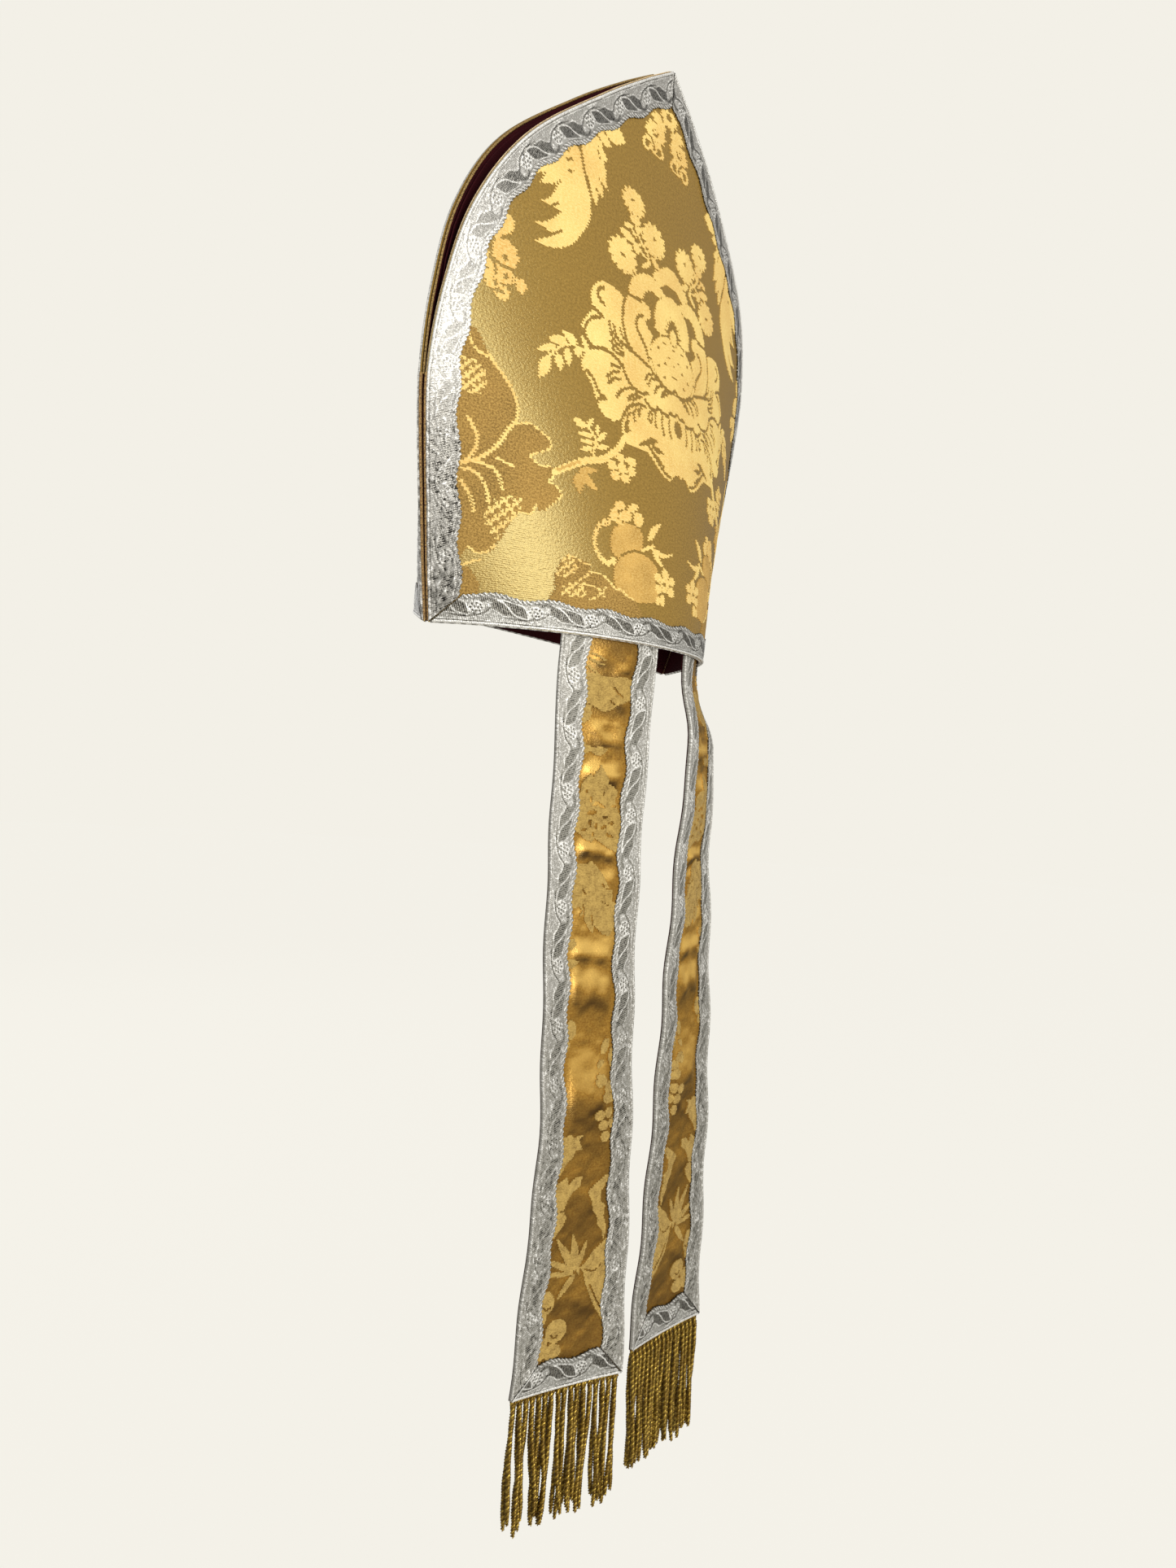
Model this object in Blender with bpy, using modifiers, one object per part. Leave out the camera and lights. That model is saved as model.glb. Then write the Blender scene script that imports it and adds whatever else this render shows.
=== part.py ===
"""A bishop's mitre as it is worn, with its two lappets hanging behind.

Metres, +Z up, the face towards -Y and the wearer's left towards +X. The origin is the middle of
the rim, where the mitre sits on the head. Both panels are drawn flat, as cloth: "along" is
measured round the panel from its middle line, "up" from the rim. panel_point bends that flat
pattern round the head and leans the whole mitre back.
"""

import math
from collections import namedtuple

import bpy

# the two stiffened panels
WALL = 0.0022
SEAM_TOP = 0.116  # the side seams end here, and the two points part above
TIP_HEIGHT = 0.3307
LEAN_BACK = math.radians(7.7)
ROUNDER_BEHIND = 0.47  # how much rounder a panel is in its middle than at its sides, at the rim
RIM_RISE = 0.0098  # the rim's middle is this much higher than its corners
RIM_RISE_FADES = 0.06
PANEL_SPANS = 18

# One row a level: half the cloth's width, its mean bend (1/radius), and how far the wall's inner
# edge stands from the plane between the two panels.
Level = namedtuple("Level", "up half_width bend parting")
PANEL = (
    Level(0.000, 0.1460, 6.45, 0.0002),
    Level(0.030, 0.1503, 5.68, 0.0002),
    Level(0.060, 0.1543, 4.98, 0.0002),
    Level(0.090, 0.1583, 4.28, 0.0002),
    Level(SEAM_TOP, 0.1606, 3.75, 0.0003),
    Level(0.154, 0.1560, 3.02, 0.0016),
    Level(0.198, 0.1438, 2.36, 0.0040),
    Level(0.242, 0.1144, 1.80, 0.0070),
    Level(0.287, 0.0615, 1.50, 0.0080),
    Level(0.313, 0.0264, 1.40, 0.0066),
    Level(TIP_HEIGHT, 0.0000, 1.40, 0.0046),
)
PANEL_LEVELS = (0, 0.018, 0.042, 0.07, 0.1, 0.125, 0.15, 0.175, 0.2, 0.223, 0.245, 0.267,
                0.289, 0.31, TIP_HEIGHT)

# the soft fold between the two points
FOLD_CLOTH = 0.0012
FOLD_HALF_WIDTH = 0.1525
FOLD_BELOW_EDGE = 0.003
FOLD_CLEAR = 0.001  # from the panels' inner faces
VALLEY_UP = 0.123  # at the sides
VALLEY_SAG = 0.022
FOLD_COLUMNS = 13
FOLD_ROWS = 6  # from a panel's edge down to the valley

# the silver galloon
GALLOON = 0.0008
GALLOON_WIDTH = 0.0158
GALLOON_INSET = 0.0014  # from a panel's edge
NARROWEST = 0.0004  # where a mitred end runs out
SCALLOP = 0.0009
SCALLOP_PITCH = 0.030
STATION = SCALLOP_PITCH / 4
EDGE_STEP = 0.0005  # for following a panel's edge
MITRE_GAP = 0.00025
CLEAR = 0.0004  # between cloth and what lies on it

# the lappets
LAPPET = 0.0016
LAPPET_FROM, LAPPET_TO = 0.0158, 0.0780  # where each is sewn in, along the back rim
LAPPET_TUCK = 0.014  # sewn in above the rim
LAPPET_SPANS, LAPPET_LEVELS = 6, 28
RIM_CLEAR = 0.0008  # from the inside of the back panel
RELAX = 0.05  # below the rim, over which the cloth leaves the rim's curve
SLANT = 0.006  # a lappet hangs this much shorter on the wearer's left, as a share of its drop
RIPPLE = 0.0008
RIPPLE_PITCH = 0.062
RIPPLE_SETTLES = 0.12  # drop at which it is fully grown
TRIM_INSET = 0.0005
TRIM_CLEAR = 0.0007
TRIM_FROM = 0.0005  # below the rim

# One row a level down the lappet: its middle in plan, which way its face turns (degrees from +Y
# towards +X), its width, and its bow across.
Hang = namedtuple("Hang", "drop x y turn width bow")
LAPPETS = {
    "lappet_left": (
        Hang(0.000, 0.0442, 0.0603, 24.0, 0.0622, 8.0),
        Hang(0.040, 0.0460, 0.0625, 21.5, 0.0605, 3.0),
        Hang(0.110, 0.0464, 0.0622, 18.5, 0.0608, 1.0),
        Hang(0.180, 0.0458, 0.0630, 13.5, 0.0642, 0.0),
        Hang(0.260, 0.0441, 0.0657, 11.0, 0.0682, 0.0),
        Hang(0.330, 0.0446, 0.0646, 14.0, 0.0722, -1.0),
        Hang(0.3915, 0.0454, 0.0632, 16.5, 0.0755, -2.0),
    ),
    "lappet_right": (
        Hang(0.000, -0.0440, 0.0603, -24.0, 0.0622, 8.0),
        Hang(0.040, -0.0482, 0.0698, -17.0, 0.0605, 3.0),
        Hang(0.110, -0.0490, 0.0686, -11.7, 0.0610, 1.0),
        Hang(0.180, -0.0492, 0.0692, -6.5, 0.0646, 0.0),
        Hang(0.260, -0.0496, 0.0702, -2.6, 0.0686, 0.0),
        Hang(0.330, -0.0490, 0.0692, -1.0, 0.0730, -1.0),
        Hang(0.394, -0.0482, 0.0680, 1.5, 0.0765, -2.0),
    ),
}

# the bullion fringes
FRINGE = 0.0026
FRINGE_HEAD = 0.005
FRINGE_INSET = 0.0012
LOCK_LENGTHS = (0.070, 0.068, 0.071, 0.069, 0.067, 0.070, 0.068, 0.066, 0.069, 0.068, 0.070, 0.067)
LOCK_SWAYS = (8, -5, 12, 3, -9, 6, 14, -4, -11, 7, 2, -8)  # in ten-thousandths, at its end
LOCK_GAP = 0.0008
LOCK_SPANS = 5
LOCK_NARROWS = 0.0006

MATERIALS = {  # colour, roughness, metallic
    "brocade": ((0.42, 0.25, 0.06), 0.45, 0.3),
    "silver_galloon": ((0.60, 0.60, 0.58), 0.4, 0.6),
    "burgundy_cloth": ((0.10, 0.01, 0.02), 0.8, 0.0),
    "bullion": ((0.50, 0.33, 0.08), 0.4, 0.7),
}


def smooth(rows, column, at):
    """A column of a table at any place between its rows, on a smooth curve through them."""
    place, value = [row[0] for row in rows], [getattr(row, column) for row in rows]
    at = min(max(at, place[0]), place[-1])
    i = max(k for k in range(len(place) - 1) if place[k] <= at)

    def slope(k):
        low, high = max(k - 1, 0), min(k + 1, len(place) - 1)
        return (value[high] - value[low]) / (place[high] - place[low])

    span = place[i + 1] - place[i]
    t = (at - place[i]) / span
    return (
        value[i] * (1 + 2 * t) * (1 - t) ** 2
        + value[i + 1] * t * t * (3 - 2 * t)
        + span * t * (1 - t) * (slope(i) * (1 - t) - slope(i + 1) * t)
    )


def ease(t):
    t = min(max(t, 0.0), 1.0)
    return t * t * (3 - 2 * t)


def half_width(up):
    return max(smooth(PANEL, "half_width", up), 0.0)


def wrap(along, up, steps=16):
    """Where a panel's level has got to in plan, that far round from its middle line.

    Gives how far across it is, how far it has dropped back, and the angle it has turned.
    """
    bend = smooth(PANEL, "bend", up)
    girth = half_width(min(up, SEAM_TOP))
    rounder = ROUNDER_BEHIND * (1 - up / TIP_HEIGHT)

    def angle(a):
        return bend * (a + rounder * girth / math.pi * math.sin(math.pi * a / girth))

    step = along / steps
    middles = [angle((k + 0.5) * step) for k in range(steps)]
    across = step * sum(math.cos(m) for m in middles)
    back = step * sum(math.sin(m) for m in middles)
    return across, back, angle(along)


def panel_point(along, up, out=0.0, face=1):
    """A point of the flat pattern on the worn panel, "out" from the middle of its wall.

    face is 1 on the back panel and -1 on the front one.
    """
    across, back, angle = wrap(along, up)
    _, edge_back, edge_angle = wrap(half_width(up), up)
    parting = smooth(PANEL, "parting", up) + WALL / 2 * math.cos(edge_angle)
    depth = parting + edge_back - back
    girth = half_width(min(up, SEAM_TOP))
    rise = RIM_RISE * (1 - (along / girth) ** 2) * max(0.0, 1 - up / RIM_RISE_FADES)
    x = across + out * math.sin(angle)
    y = face * (depth + out * math.cos(angle))
    z = up + rise
    lean, upright = math.sin(LEAN_BACK), math.cos(LEAN_BACK)
    return x, y * upright + z * lean, z * upright - y * lean


def material(name):
    if name in bpy.data.materials:
        return bpy.data.materials[name]
    colour, roughness, metallic = MATERIALS[name]
    made = bpy.data.materials.new(name)
    made.use_nodes = True
    made.diffuse_color = (*colour, 1.0)
    shader = made.node_tree.nodes["Principled BSDF"]
    shader.inputs["Base Color"].default_value = (*colour, 1.0)
    shader.inputs["Roughness"].default_value = roughness
    shader.inputs["Metallic"].default_value = metallic
    return made


def cloth(name, points, faces, thickness, finish):
    """An open surface made into a closed wall, half its thickness on each side."""
    mesh = bpy.data.meshes.new(name)
    mesh.from_pydata(points, [], faces)
    mesh.update()
    piece = bpy.data.objects.new(name, mesh)
    PARTS.objects.link(piece)
    mesh.materials.append(material(finish))
    wall = piece.modifiers.new("wall", "SOLIDIFY")
    wall.thickness = thickness
    wall.offset = 0.0
    wall.use_even_offset = True
    mesh.shade_smooth()
    mesh.set_sharp_from_angle(angle=math.radians(40))
    return piece


def grid(rows):
    """The points and faces of a surface through rows of points; a row of one point is a tip."""
    points, faces, start = [], [], []
    for row in rows:
        start.append(len(points))
        points += row
    for i in range(len(rows) - 1):
        a, b = start[i], start[i + 1]
        for j in range(len(rows[i]) - 1):
            if len(rows[i + 1]) == 1:
                faces.append((a + j, a + j + 1, b))
            else:
                faces.append((a + j, a + j + 1, b + j + 1, b + j))
    return points, faces


def make_panel(name, face):
    rows = []
    for up in PANEL_LEVELS[:-1]:
        edge = half_width(up)
        row = [edge * (2 * j / PANEL_SPANS - 1) for j in range(PANEL_SPANS + 1)]
        rows.append([panel_point(along, up, face=face) for along in row])
    rows.append([panel_point(0.0, TIP_HEIGHT, face=face)])
    cloth(name, *grid(rows), WALL, "brocade")


def edge_height(along):
    """How high the panel's edge is, that far from its middle line."""
    low, high = SEAM_TOP, TIP_HEIGHT
    for _ in range(30):
        middle = (low + high) / 2
        low, high = (middle, high) if half_width(middle) > abs(along) else (low, middle)
    return low


def make_inner_fold():
    """Down the inside of the back panel, through the valley, and up the inside of the front."""
    inside = -(WALL / 2 + FOLD_CLEAR + FOLD_CLOTH / 2)
    rows = []
    for k in range(-FOLD_ROWS, FOLD_ROWS + 1):
        face = 1 if k < 0 else -1
        down = 1 - abs(k) / FOLD_ROWS
        narrow = math.sqrt(1 - down ** 4)  # the U that the cloth hangs in
        row = []
        for j in range(FOLD_COLUMNS + 1):
            part = 2 * j / FOLD_COLUMNS - 1
            along = FOLD_HALF_WIDTH * part
            top = edge_height(along) - FOLD_BELOW_EDGE
            valley = VALLEY_UP - VALLEY_SAG * (1 - part ** 2)
            up = top + (valley - top) * down
            back = panel_point(along, up, inside, 1)
            front = panel_point(along, up, inside, -1)
            nearer = back if face > 0 else front
            row.append(tuple(
                narrow * n + (1 - narrow) * (b + f) / 2 for n, b, f in zip(nearer, back, front)
            ))
        rows.append(row)
    cloth("inner_fold", *grid(rows), FOLD_CLOTH, "burgundy_cloth")


def scalloped(distance):
    return GALLOON_WIDTH + SCALLOP * math.cos(2 * math.pi * distance / SCALLOP_PITCH)


def side_outline():
    """Points up the panel's edge a station apart, with the direction in towards the cloth."""
    step, up, travelled, due = EDGE_STEP, GALLOON_INSET + MITRE_GAP, 0.0, 0.0
    found = []
    while up < TIP_HEIGHT - step:
        slope = (half_width(up + step) - half_width(up - step)) / (2 * step)
        length = math.hypot(1, slope)
        if travelled >= due:
            found.append((half_width(up), up, -1 / length, slope / length, travelled))
            due += STATION
        up += step / length
        travelled += step
    return found


def make_side_galloon(name, side, face):
    """One curved edge, from the mitred corner at the rim to the mitred join at the tip."""
    out = WALL / 2 + CLEAR + GALLOON / 2
    rows = []
    for edge, up, in_along, in_up, travelled in side_outline():
        corner = half_width(0.0) - MITRE_GAP * 2  # the mitred join rises from here at 45 degrees
        room_at_rim = (up - (corner - edge)) / max(-in_along - in_up, 0.01) - MITRE_GAP
        room_at_tip = (edge - MITRE_GAP) / -in_along
        room = min(room_at_rim, room_at_tip) - GALLOON_INSET
        width = max(min(scalloped(travelled), room), NARROWEST)
        row = []
        for t in (0.0, 0.5, 1.0):
            reach = GALLOON_INSET + width * t
            along = max(edge + in_along * reach, MITRE_GAP)
            row.append(panel_point(side * along, up + in_up * reach, out, face))
        rows.append(row)
    cloth(name, *grid(rows), GALLOON, "silver_galloon")


def make_rim_galloon(name, face):
    out = WALL / 2 + CLEAR + GALLOON / 2
    corner = half_width(0.0) - MITRE_GAP * 3
    end = corner - GALLOON_INSET - NARROWEST
    count = round(2 * end / STATION)
    rows = []
    for i in range(count + 1):
        along = end * (2 * i / count - 1)
        width = min(scalloped(along), corner - abs(along) - GALLOON_INSET)
        ups = [GALLOON_INSET + width * t for t in (0.0, 0.5, 1.0)]
        rows.append([panel_point(along, up, out, face) for up in ups])
    cloth(name, *grid(rows), GALLOON, "silver_galloon")


def lappet_point(name, part, drop, out=0.0):
    """A point of a lappet: part runs -1 to 1 across it, drop down from the rim."""
    rows = LAPPETS[name]
    side = 1 if rows[0].x > 0 else -1
    middle, reach = (LAPPET_FROM + LAPPET_TO) / 2, (LAPPET_TO - LAPPET_FROM) / 2
    sewn_out = out - (WALL / 2 + RIM_CLEAR + LAPPET / 2)
    sewn = panel_point(side * middle + part * reach, max(-drop, 0.0), sewn_out)
    if drop <= 0:
        return sewn
    turn = math.radians(smooth(rows, "turn", drop))
    across = part * smooth(rows, "width", drop) / 2
    bow = smooth(rows, "bow", drop)
    ripple = RIPPLE * ease(drop / RIPPLE_SETTLES) * math.sin(math.tau * drop / RIPPLE_PITCH + side)
    off = out + ripple - bow * across ** 2 / 2
    x = smooth(rows, "x", drop) + across * math.cos(turn) + off * math.sin(turn)
    y = smooth(rows, "y", drop) - across * math.sin(turn) + off * math.cos(turn)
    free = ease(drop / RELAX)
    return (
        sewn[0] + (x - sewn[0]) * free,
        sewn[1] + (y - sewn[1]) * free,
        sewn[2] - drop * (1 - SLANT * part),
    )


def foot(name):
    """How far below the rim a lappet ends."""
    return LAPPETS[name][-1].drop


def make_lappet(name):
    drops = [-LAPPET_TUCK, -LAPPET_TUCK / 2, 0.0]
    drops += [foot(name) * (k + 1) / LAPPET_LEVELS for k in range(LAPPET_LEVELS)]
    rows = []
    for drop in drops:
        parts = [2 * j / LAPPET_SPANS - 1 for j in range(LAPPET_SPANS + 1)]
        rows.append([lappet_point(name, part, drop) for part in parts])
    cloth(name, *grid(rows), LAPPET, "brocade")


def make_lappet_trim(name):
    """Galloon down one side, across the bottom and up the other, with folded corners."""
    out = LAPPET / 2 + TRIM_CLEAR + GALLOON / 2
    bottom = foot(name) - TRIM_INSET
    down = round((bottom - TRIM_FROM) / STATION)
    half = LAPPETS[name][-1].width / 2
    rows = []

    def across_side(side, drop, width, lift):
        """One row across the band on a side; lift raises its inner end at the corner."""
        wide = smooth(LAPPETS[name], "width", drop) / 2
        row = []
        for t in (0.0, 0.5, 1.0):
            reach = TRIM_INSET + width * t
            row.append(lappet_point(name, side * (1 - reach / wide), drop - lift * t, out))
        return row

    def across_bottom(along, width):
        return [lappet_point(name, along / half, bottom - width * t, out) for t in (0.0, 0.5, 1.0)]

    above_corner = down - round(GALLOON_WIDTH / STATION)
    places = [TRIM_FROM + (bottom - TRIM_FROM) * i / down for i in range(above_corner)]
    for drop in places:
        rows.append(across_side(-1, drop, scalloped(drop), 0.0))
    rows.append(across_side(-1, bottom, GALLOON_WIDTH, GALLOON_WIDTH))
    inner = half - TRIM_INSET - GALLOON_WIDTH
    count = round(2 * inner / STATION)
    for i in range(1, count):
        along = inner * (2 * i / count - 1)
        rows.append(across_bottom(along, scalloped(along)))
    rows.append(across_side(1, bottom, GALLOON_WIDTH, GALLOON_WIDTH))
    for drop in reversed(places):
        rows.append(across_side(1, drop, scalloped(drop), 0.0))
    cloth(name + "_trim", *grid(rows), GALLOON, "silver_galloon")


def make_fringe(name, lappet):
    """A flat head under the lappet's foot, with its locks of bullion cut from the same wall."""
    rows = LAPPETS[lappet]
    half = rows[-1].width / 2 - FRINGE_INSET
    turn = math.radians(rows[-1].turn)
    last = len(LOCK_LENGTHS) - 1
    pitch = 2 * half / (last + 1)

    def place(across, down, sway):
        x, y, z = lappet_point(lappet, 2 * across / rows[-1].width, foot(lappet))
        return x + sway * math.sin(turn), y + sway * math.cos(turn), z - CLEAR - down

    points, faces = [], []
    for i, length in enumerate(LOCK_LENGTHS):
        left = -half + i * pitch + (LOCK_GAP / 2 if i else 0)
        right = -half + (i + 1) * pitch - (LOCK_GAP / 2 if i < last else 0)
        first = len(points)
        points += [place(left, 0, 0), place(right, 0, 0)]
        if i:  # the head runs on across the gap from the last lock
            faces.append((before[1], first, first + 2, before[3]))
        for k in range(LOCK_SPANS + 1):
            t = k / LOCK_SPANS
            down = FRINGE_HEAD + (length - FRINGE_HEAD) * t
            sway = LOCK_SWAYS[i] / 10000 * t * t
            tuck = LOCK_NARROWS * t
            points += [place(left + tuck, down, sway), place(right - tuck, down, sway)]
            a = first + 2 * k
            faces.append((a, a + 1, a + 3, a + 2))
        before = (first, first + 1, first + 2, first + 3)
    cloth(name, points, faces, FRINGE, "bullion")


for old in list(bpy.data.objects):
    bpy.data.objects.remove(old, do_unlink=True)
PARTS = bpy.data.collections.new("bishop_mitre")
bpy.context.scene.collection.children.link(PARTS)

for facing, face in (("back", 1), ("front", -1)):
    make_panel(f"{facing}_panel", face)
    make_side_galloon(f"galloon_{facing}_left", 1, face)
    make_side_galloon(f"galloon_{facing}_right", -1, face)
    make_rim_galloon(f"galloon_{facing}_rim", face)
make_inner_fold()
for side in ("left", "right"):
    make_lappet(f"lappet_{side}")
    make_lappet_trim(f"lappet_{side}")
    make_fringe(f"fringe_{side}", f"lappet_{side}")
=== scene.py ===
import math

import bmesh
import bpy
import numpy as np
from mathutils import Matrix, Vector
from mathutils.geometry import delaunay_2d_cdt


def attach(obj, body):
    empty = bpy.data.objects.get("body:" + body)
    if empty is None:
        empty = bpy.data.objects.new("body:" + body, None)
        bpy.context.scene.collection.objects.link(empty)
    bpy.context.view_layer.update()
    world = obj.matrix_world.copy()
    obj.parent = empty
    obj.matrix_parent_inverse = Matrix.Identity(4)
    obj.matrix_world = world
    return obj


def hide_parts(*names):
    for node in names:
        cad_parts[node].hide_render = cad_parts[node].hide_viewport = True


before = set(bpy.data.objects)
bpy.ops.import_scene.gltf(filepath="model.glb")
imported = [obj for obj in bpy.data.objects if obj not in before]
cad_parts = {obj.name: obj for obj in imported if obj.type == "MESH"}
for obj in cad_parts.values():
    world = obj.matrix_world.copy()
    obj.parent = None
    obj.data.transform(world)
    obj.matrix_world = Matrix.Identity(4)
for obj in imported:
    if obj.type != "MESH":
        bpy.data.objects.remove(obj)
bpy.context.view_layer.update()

print("frame loaded:", len(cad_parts), "solids")


def table(columns, rows):  # named columns, with a row for each level
    return dict(zip(columns.split(), np.array(rows, float).T))


# the worn shape in metres, in the solids' own flat pattern and bend, so that the looks lie on them
mitre = {
    "wall": 0.0022, "seamTop": 0.116, "tip": 0.3307, "lean": math.radians(7.7), "bendSteps": 16,
    "rounderBehind": 0.47, "rimRise": 0.0098, "rimRiseFades": 0.06,
    "levels": table("at halfWidth bend parting", [
        (0.000, 0.1460, 6.45, 0.0002), (0.030, 0.1503, 5.68, 0.0002), (0.060, 0.1543, 4.98, 0.0002),
        (0.090, 0.1583, 4.28, 0.0002), (0.116, 0.1606, 3.75, 0.0003), (0.154, 0.1560, 3.02, 0.0016),
        (0.198, 0.1438, 2.36, 0.0040), (0.242, 0.1144, 1.80, 0.0070), (0.287, 0.0615, 1.50, 0.0080),
        (0.313, 0.0264, 1.40, 0.0066), (0.3307, 0.0, 1.40, 0.0046)]),
}
lappets = {  # at is the drop below the rim, turn is in degrees
    "cloth": 0.0016, "sewnFrom": 0.0158, "sewnTo": 0.0780, "tuck": 0.014, "rimClear": 0.0008,
    "relax": 0.05, "slant": 0.006, "ripple": 0.0008, "ripplePitch": 0.062, "rippleSettles": 0.12,
    "left": table("at x y turn width bow", [
        (0.000, 0.0442, 0.0603, 24.0, 0.0622, 8.0), (0.040, 0.0460, 0.0625, 21.5, 0.0605, 3.0),
        (0.110, 0.0464, 0.0622, 18.5, 0.0608, 1.0), (0.180, 0.0458, 0.0630, 13.5, 0.0642, 0.0),
        (0.260, 0.0441, 0.0657, 11.0, 0.0682, 0.0), (0.330, 0.0446, 0.0646, 14.0, 0.0722, -1.0),
        (0.3915, 0.0454, 0.0632, 16.5, 0.0755, -2.0)]),
    "right": table("at x y turn width bow", [
        (0.000, -0.0440, 0.0603, -24.0, 0.0622, 8.0), (0.040, -0.0482, 0.0698, -17.0, 0.0605, 3.0),
        (0.110, -0.0490, 0.0686, -11.7, 0.0610, 1.0), (0.180, -0.0492, 0.0692, -6.5, 0.0646, 0.0),
        (0.260, -0.0496, 0.0702, -2.6, 0.0686, 0.0), (0.330, -0.0490, 0.0692, -1.0, 0.0730, -1.0),
        (0.394, -0.0482, 0.0680, 1.5, 0.0765, -2.0)]),
}


def readTable(rows, column, at):  # a smooth curve through a table's rows
    place, value = rows["at"], rows[column]
    last = len(place) - 1
    at = np.clip(at, place[0], place[-1])
    i = np.clip(np.searchsorted(place, at, side="right") - 1, 0, last - 1)
    low, high = np.maximum(np.arange(last + 1) - 1, 0), np.minimum(np.arange(last + 1) + 1, last)
    slope = (value[high] - value[low]) / (place[high] - place[low])
    span = place[i + 1] - place[i]
    t = (at - place[i]) / span
    return (value[i] * (1 + 2 * t) * (1 - t) ** 2 + value[i + 1] * t * t * (3 - 2 * t)
            + span * t * (1 - t) * (slope[i] * (1 - t) - slope[i + 1] * t))


def ease(t):  # a smooth step from 0 to 1
    t = np.clip(t, 0.0, 1.0)
    return t * t * (3 - 2 * t)


lumpCount = 64
lumpTable = np.random.RandomState(7).rand(lumpCount, lumpCount) * 2 - 1


def lumpy(x, y):  # a smooth random height between -1 and 1, one lump to a unit
    x, y = np.broadcast_arrays(np.asarray(x, float), y)
    i, j = np.floor(x).astype(int), np.floor(y).astype(int)
    a, b = ease(x - i), ease(y - j)
    i, j, nextI, nextJ = i % lumpCount, j % lumpCount, (i + 1) % lumpCount, (j + 1) % lumpCount
    low = lumpTable[i, j] * (1 - a) + lumpTable[nextI, j] * a
    high = lumpTable[i, nextJ] * (1 - a) + lumpTable[nextI, nextJ] * a
    return low * (1 - b) + high * b


def halfWidth(up):
    return np.maximum(readTable(mitre["levels"], "halfWidth", up), 0.0)


def wrapRound(along, up):  # where a level has got to in plan, and the angle it has turned
    bend = readTable(mitre["levels"], "bend", up)
    girth = halfWidth(np.minimum(up, mitre["seamTop"]))
    rounder = mitre["rounderBehind"] * (1 - up / mitre["tip"])

    def angle(a):
        return bend * (a + rounder * girth / math.pi * np.sin(math.pi * a / girth))

    step = along / mitre["bendSteps"]
    across, back = 0.0, 0.0
    for k in range(mitre["bendSteps"]):
        middle = angle((k + 0.5) * step)
        across, back = across + step * np.cos(middle), back + step * np.sin(middle)
    return across, back, angle(along)


def panelPoint(along, up, out=0.0, face=1):  # the flat pattern on the worn panel; face 1 is the back
    along, up, out = np.broadcast_arrays(np.asarray(along, float), up, out)
    across, back, angle = wrapRound(along, up)
    edgeBack, edgeAngle = wrapRound(halfWidth(up), up)[1:]
    parting = readTable(mitre["levels"], "parting", up) + mitre["wall"] / 2 * np.cos(edgeAngle)
    depth = parting + edgeBack - back
    girth = halfWidth(np.minimum(up, mitre["seamTop"]))
    fade = np.maximum(0.0, 1 - up / mitre["rimRiseFades"])
    x = across + out * np.sin(angle)
    y = face * (depth + out * np.cos(angle))
    z = up + mitre["rimRise"] * (1 - (along / girth) ** 2) * fade
    lean, upright = math.sin(mitre["lean"]), math.cos(mitre["lean"])
    return np.stack([x, y * upright + z * lean, z * upright - y * lean], -1)


def edgeHeight(along):  # how high the panel's edge is, that far from its middle line
    low, high = np.full(np.shape(along), mitre["seamTop"]), np.full(np.shape(along), mitre["tip"])
    for _ in range(30):  # each step halves what is left
        middle = (low + high) / 2
        wide = halfWidth(middle) > np.abs(along)
        low, high = np.where(wide, middle, low), np.where(wide, high, middle)
    return low


def lappetHalf(name, drop):  # half the lappet's width
    return readTable(lappets[name], "width", np.maximum(drop, 0)) / 2


def lappetPoint(name, part, drop, out=0.0):  # part runs -1 to 1 across, drop down from the rim
    rows = lappets[name]
    side = 1 if name == "left" else -1
    part, drop, out = np.broadcast_arrays(np.asarray(part, float), drop, out)
    middle = (lappets["sewnFrom"] + lappets["sewnTo"]) / 2
    reach = (lappets["sewnTo"] - lappets["sewnFrom"]) / 2
    sewnOut = out - (mitre["wall"] / 2 + lappets["rimClear"] + lappets["cloth"] / 2)
    sewn = panelPoint(side * middle + part * reach, np.maximum(-drop, 0.0), sewnOut)
    hang = np.maximum(drop, 0.0)
    turn = np.radians(readTable(rows, "turn", hang))
    across = part * readTable(rows, "width", hang) / 2
    ripple = lappets["ripple"] * ease(hang / lappets["rippleSettles"])
    ripple = ripple * np.sin(math.tau * hang / lappets["ripplePitch"] + side)
    off = out + ripple - readTable(rows, "bow", hang) * across ** 2 / 2
    x = readTable(rows, "x", hang) + across * np.cos(turn) + off * np.sin(turn)
    y = readTable(rows, "y", hang) - across * np.sin(turn) + off * np.cos(turn)
    free = ease(hang / lappets["relax"])
    return np.stack([sewn[..., 0] + (x - sewn[..., 0]) * free, sewn[..., 1] + (y - sewn[..., 1]) * free,
                     sewn[..., 2] - hang * (1 - lappets["slant"] * part)], -1)


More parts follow.
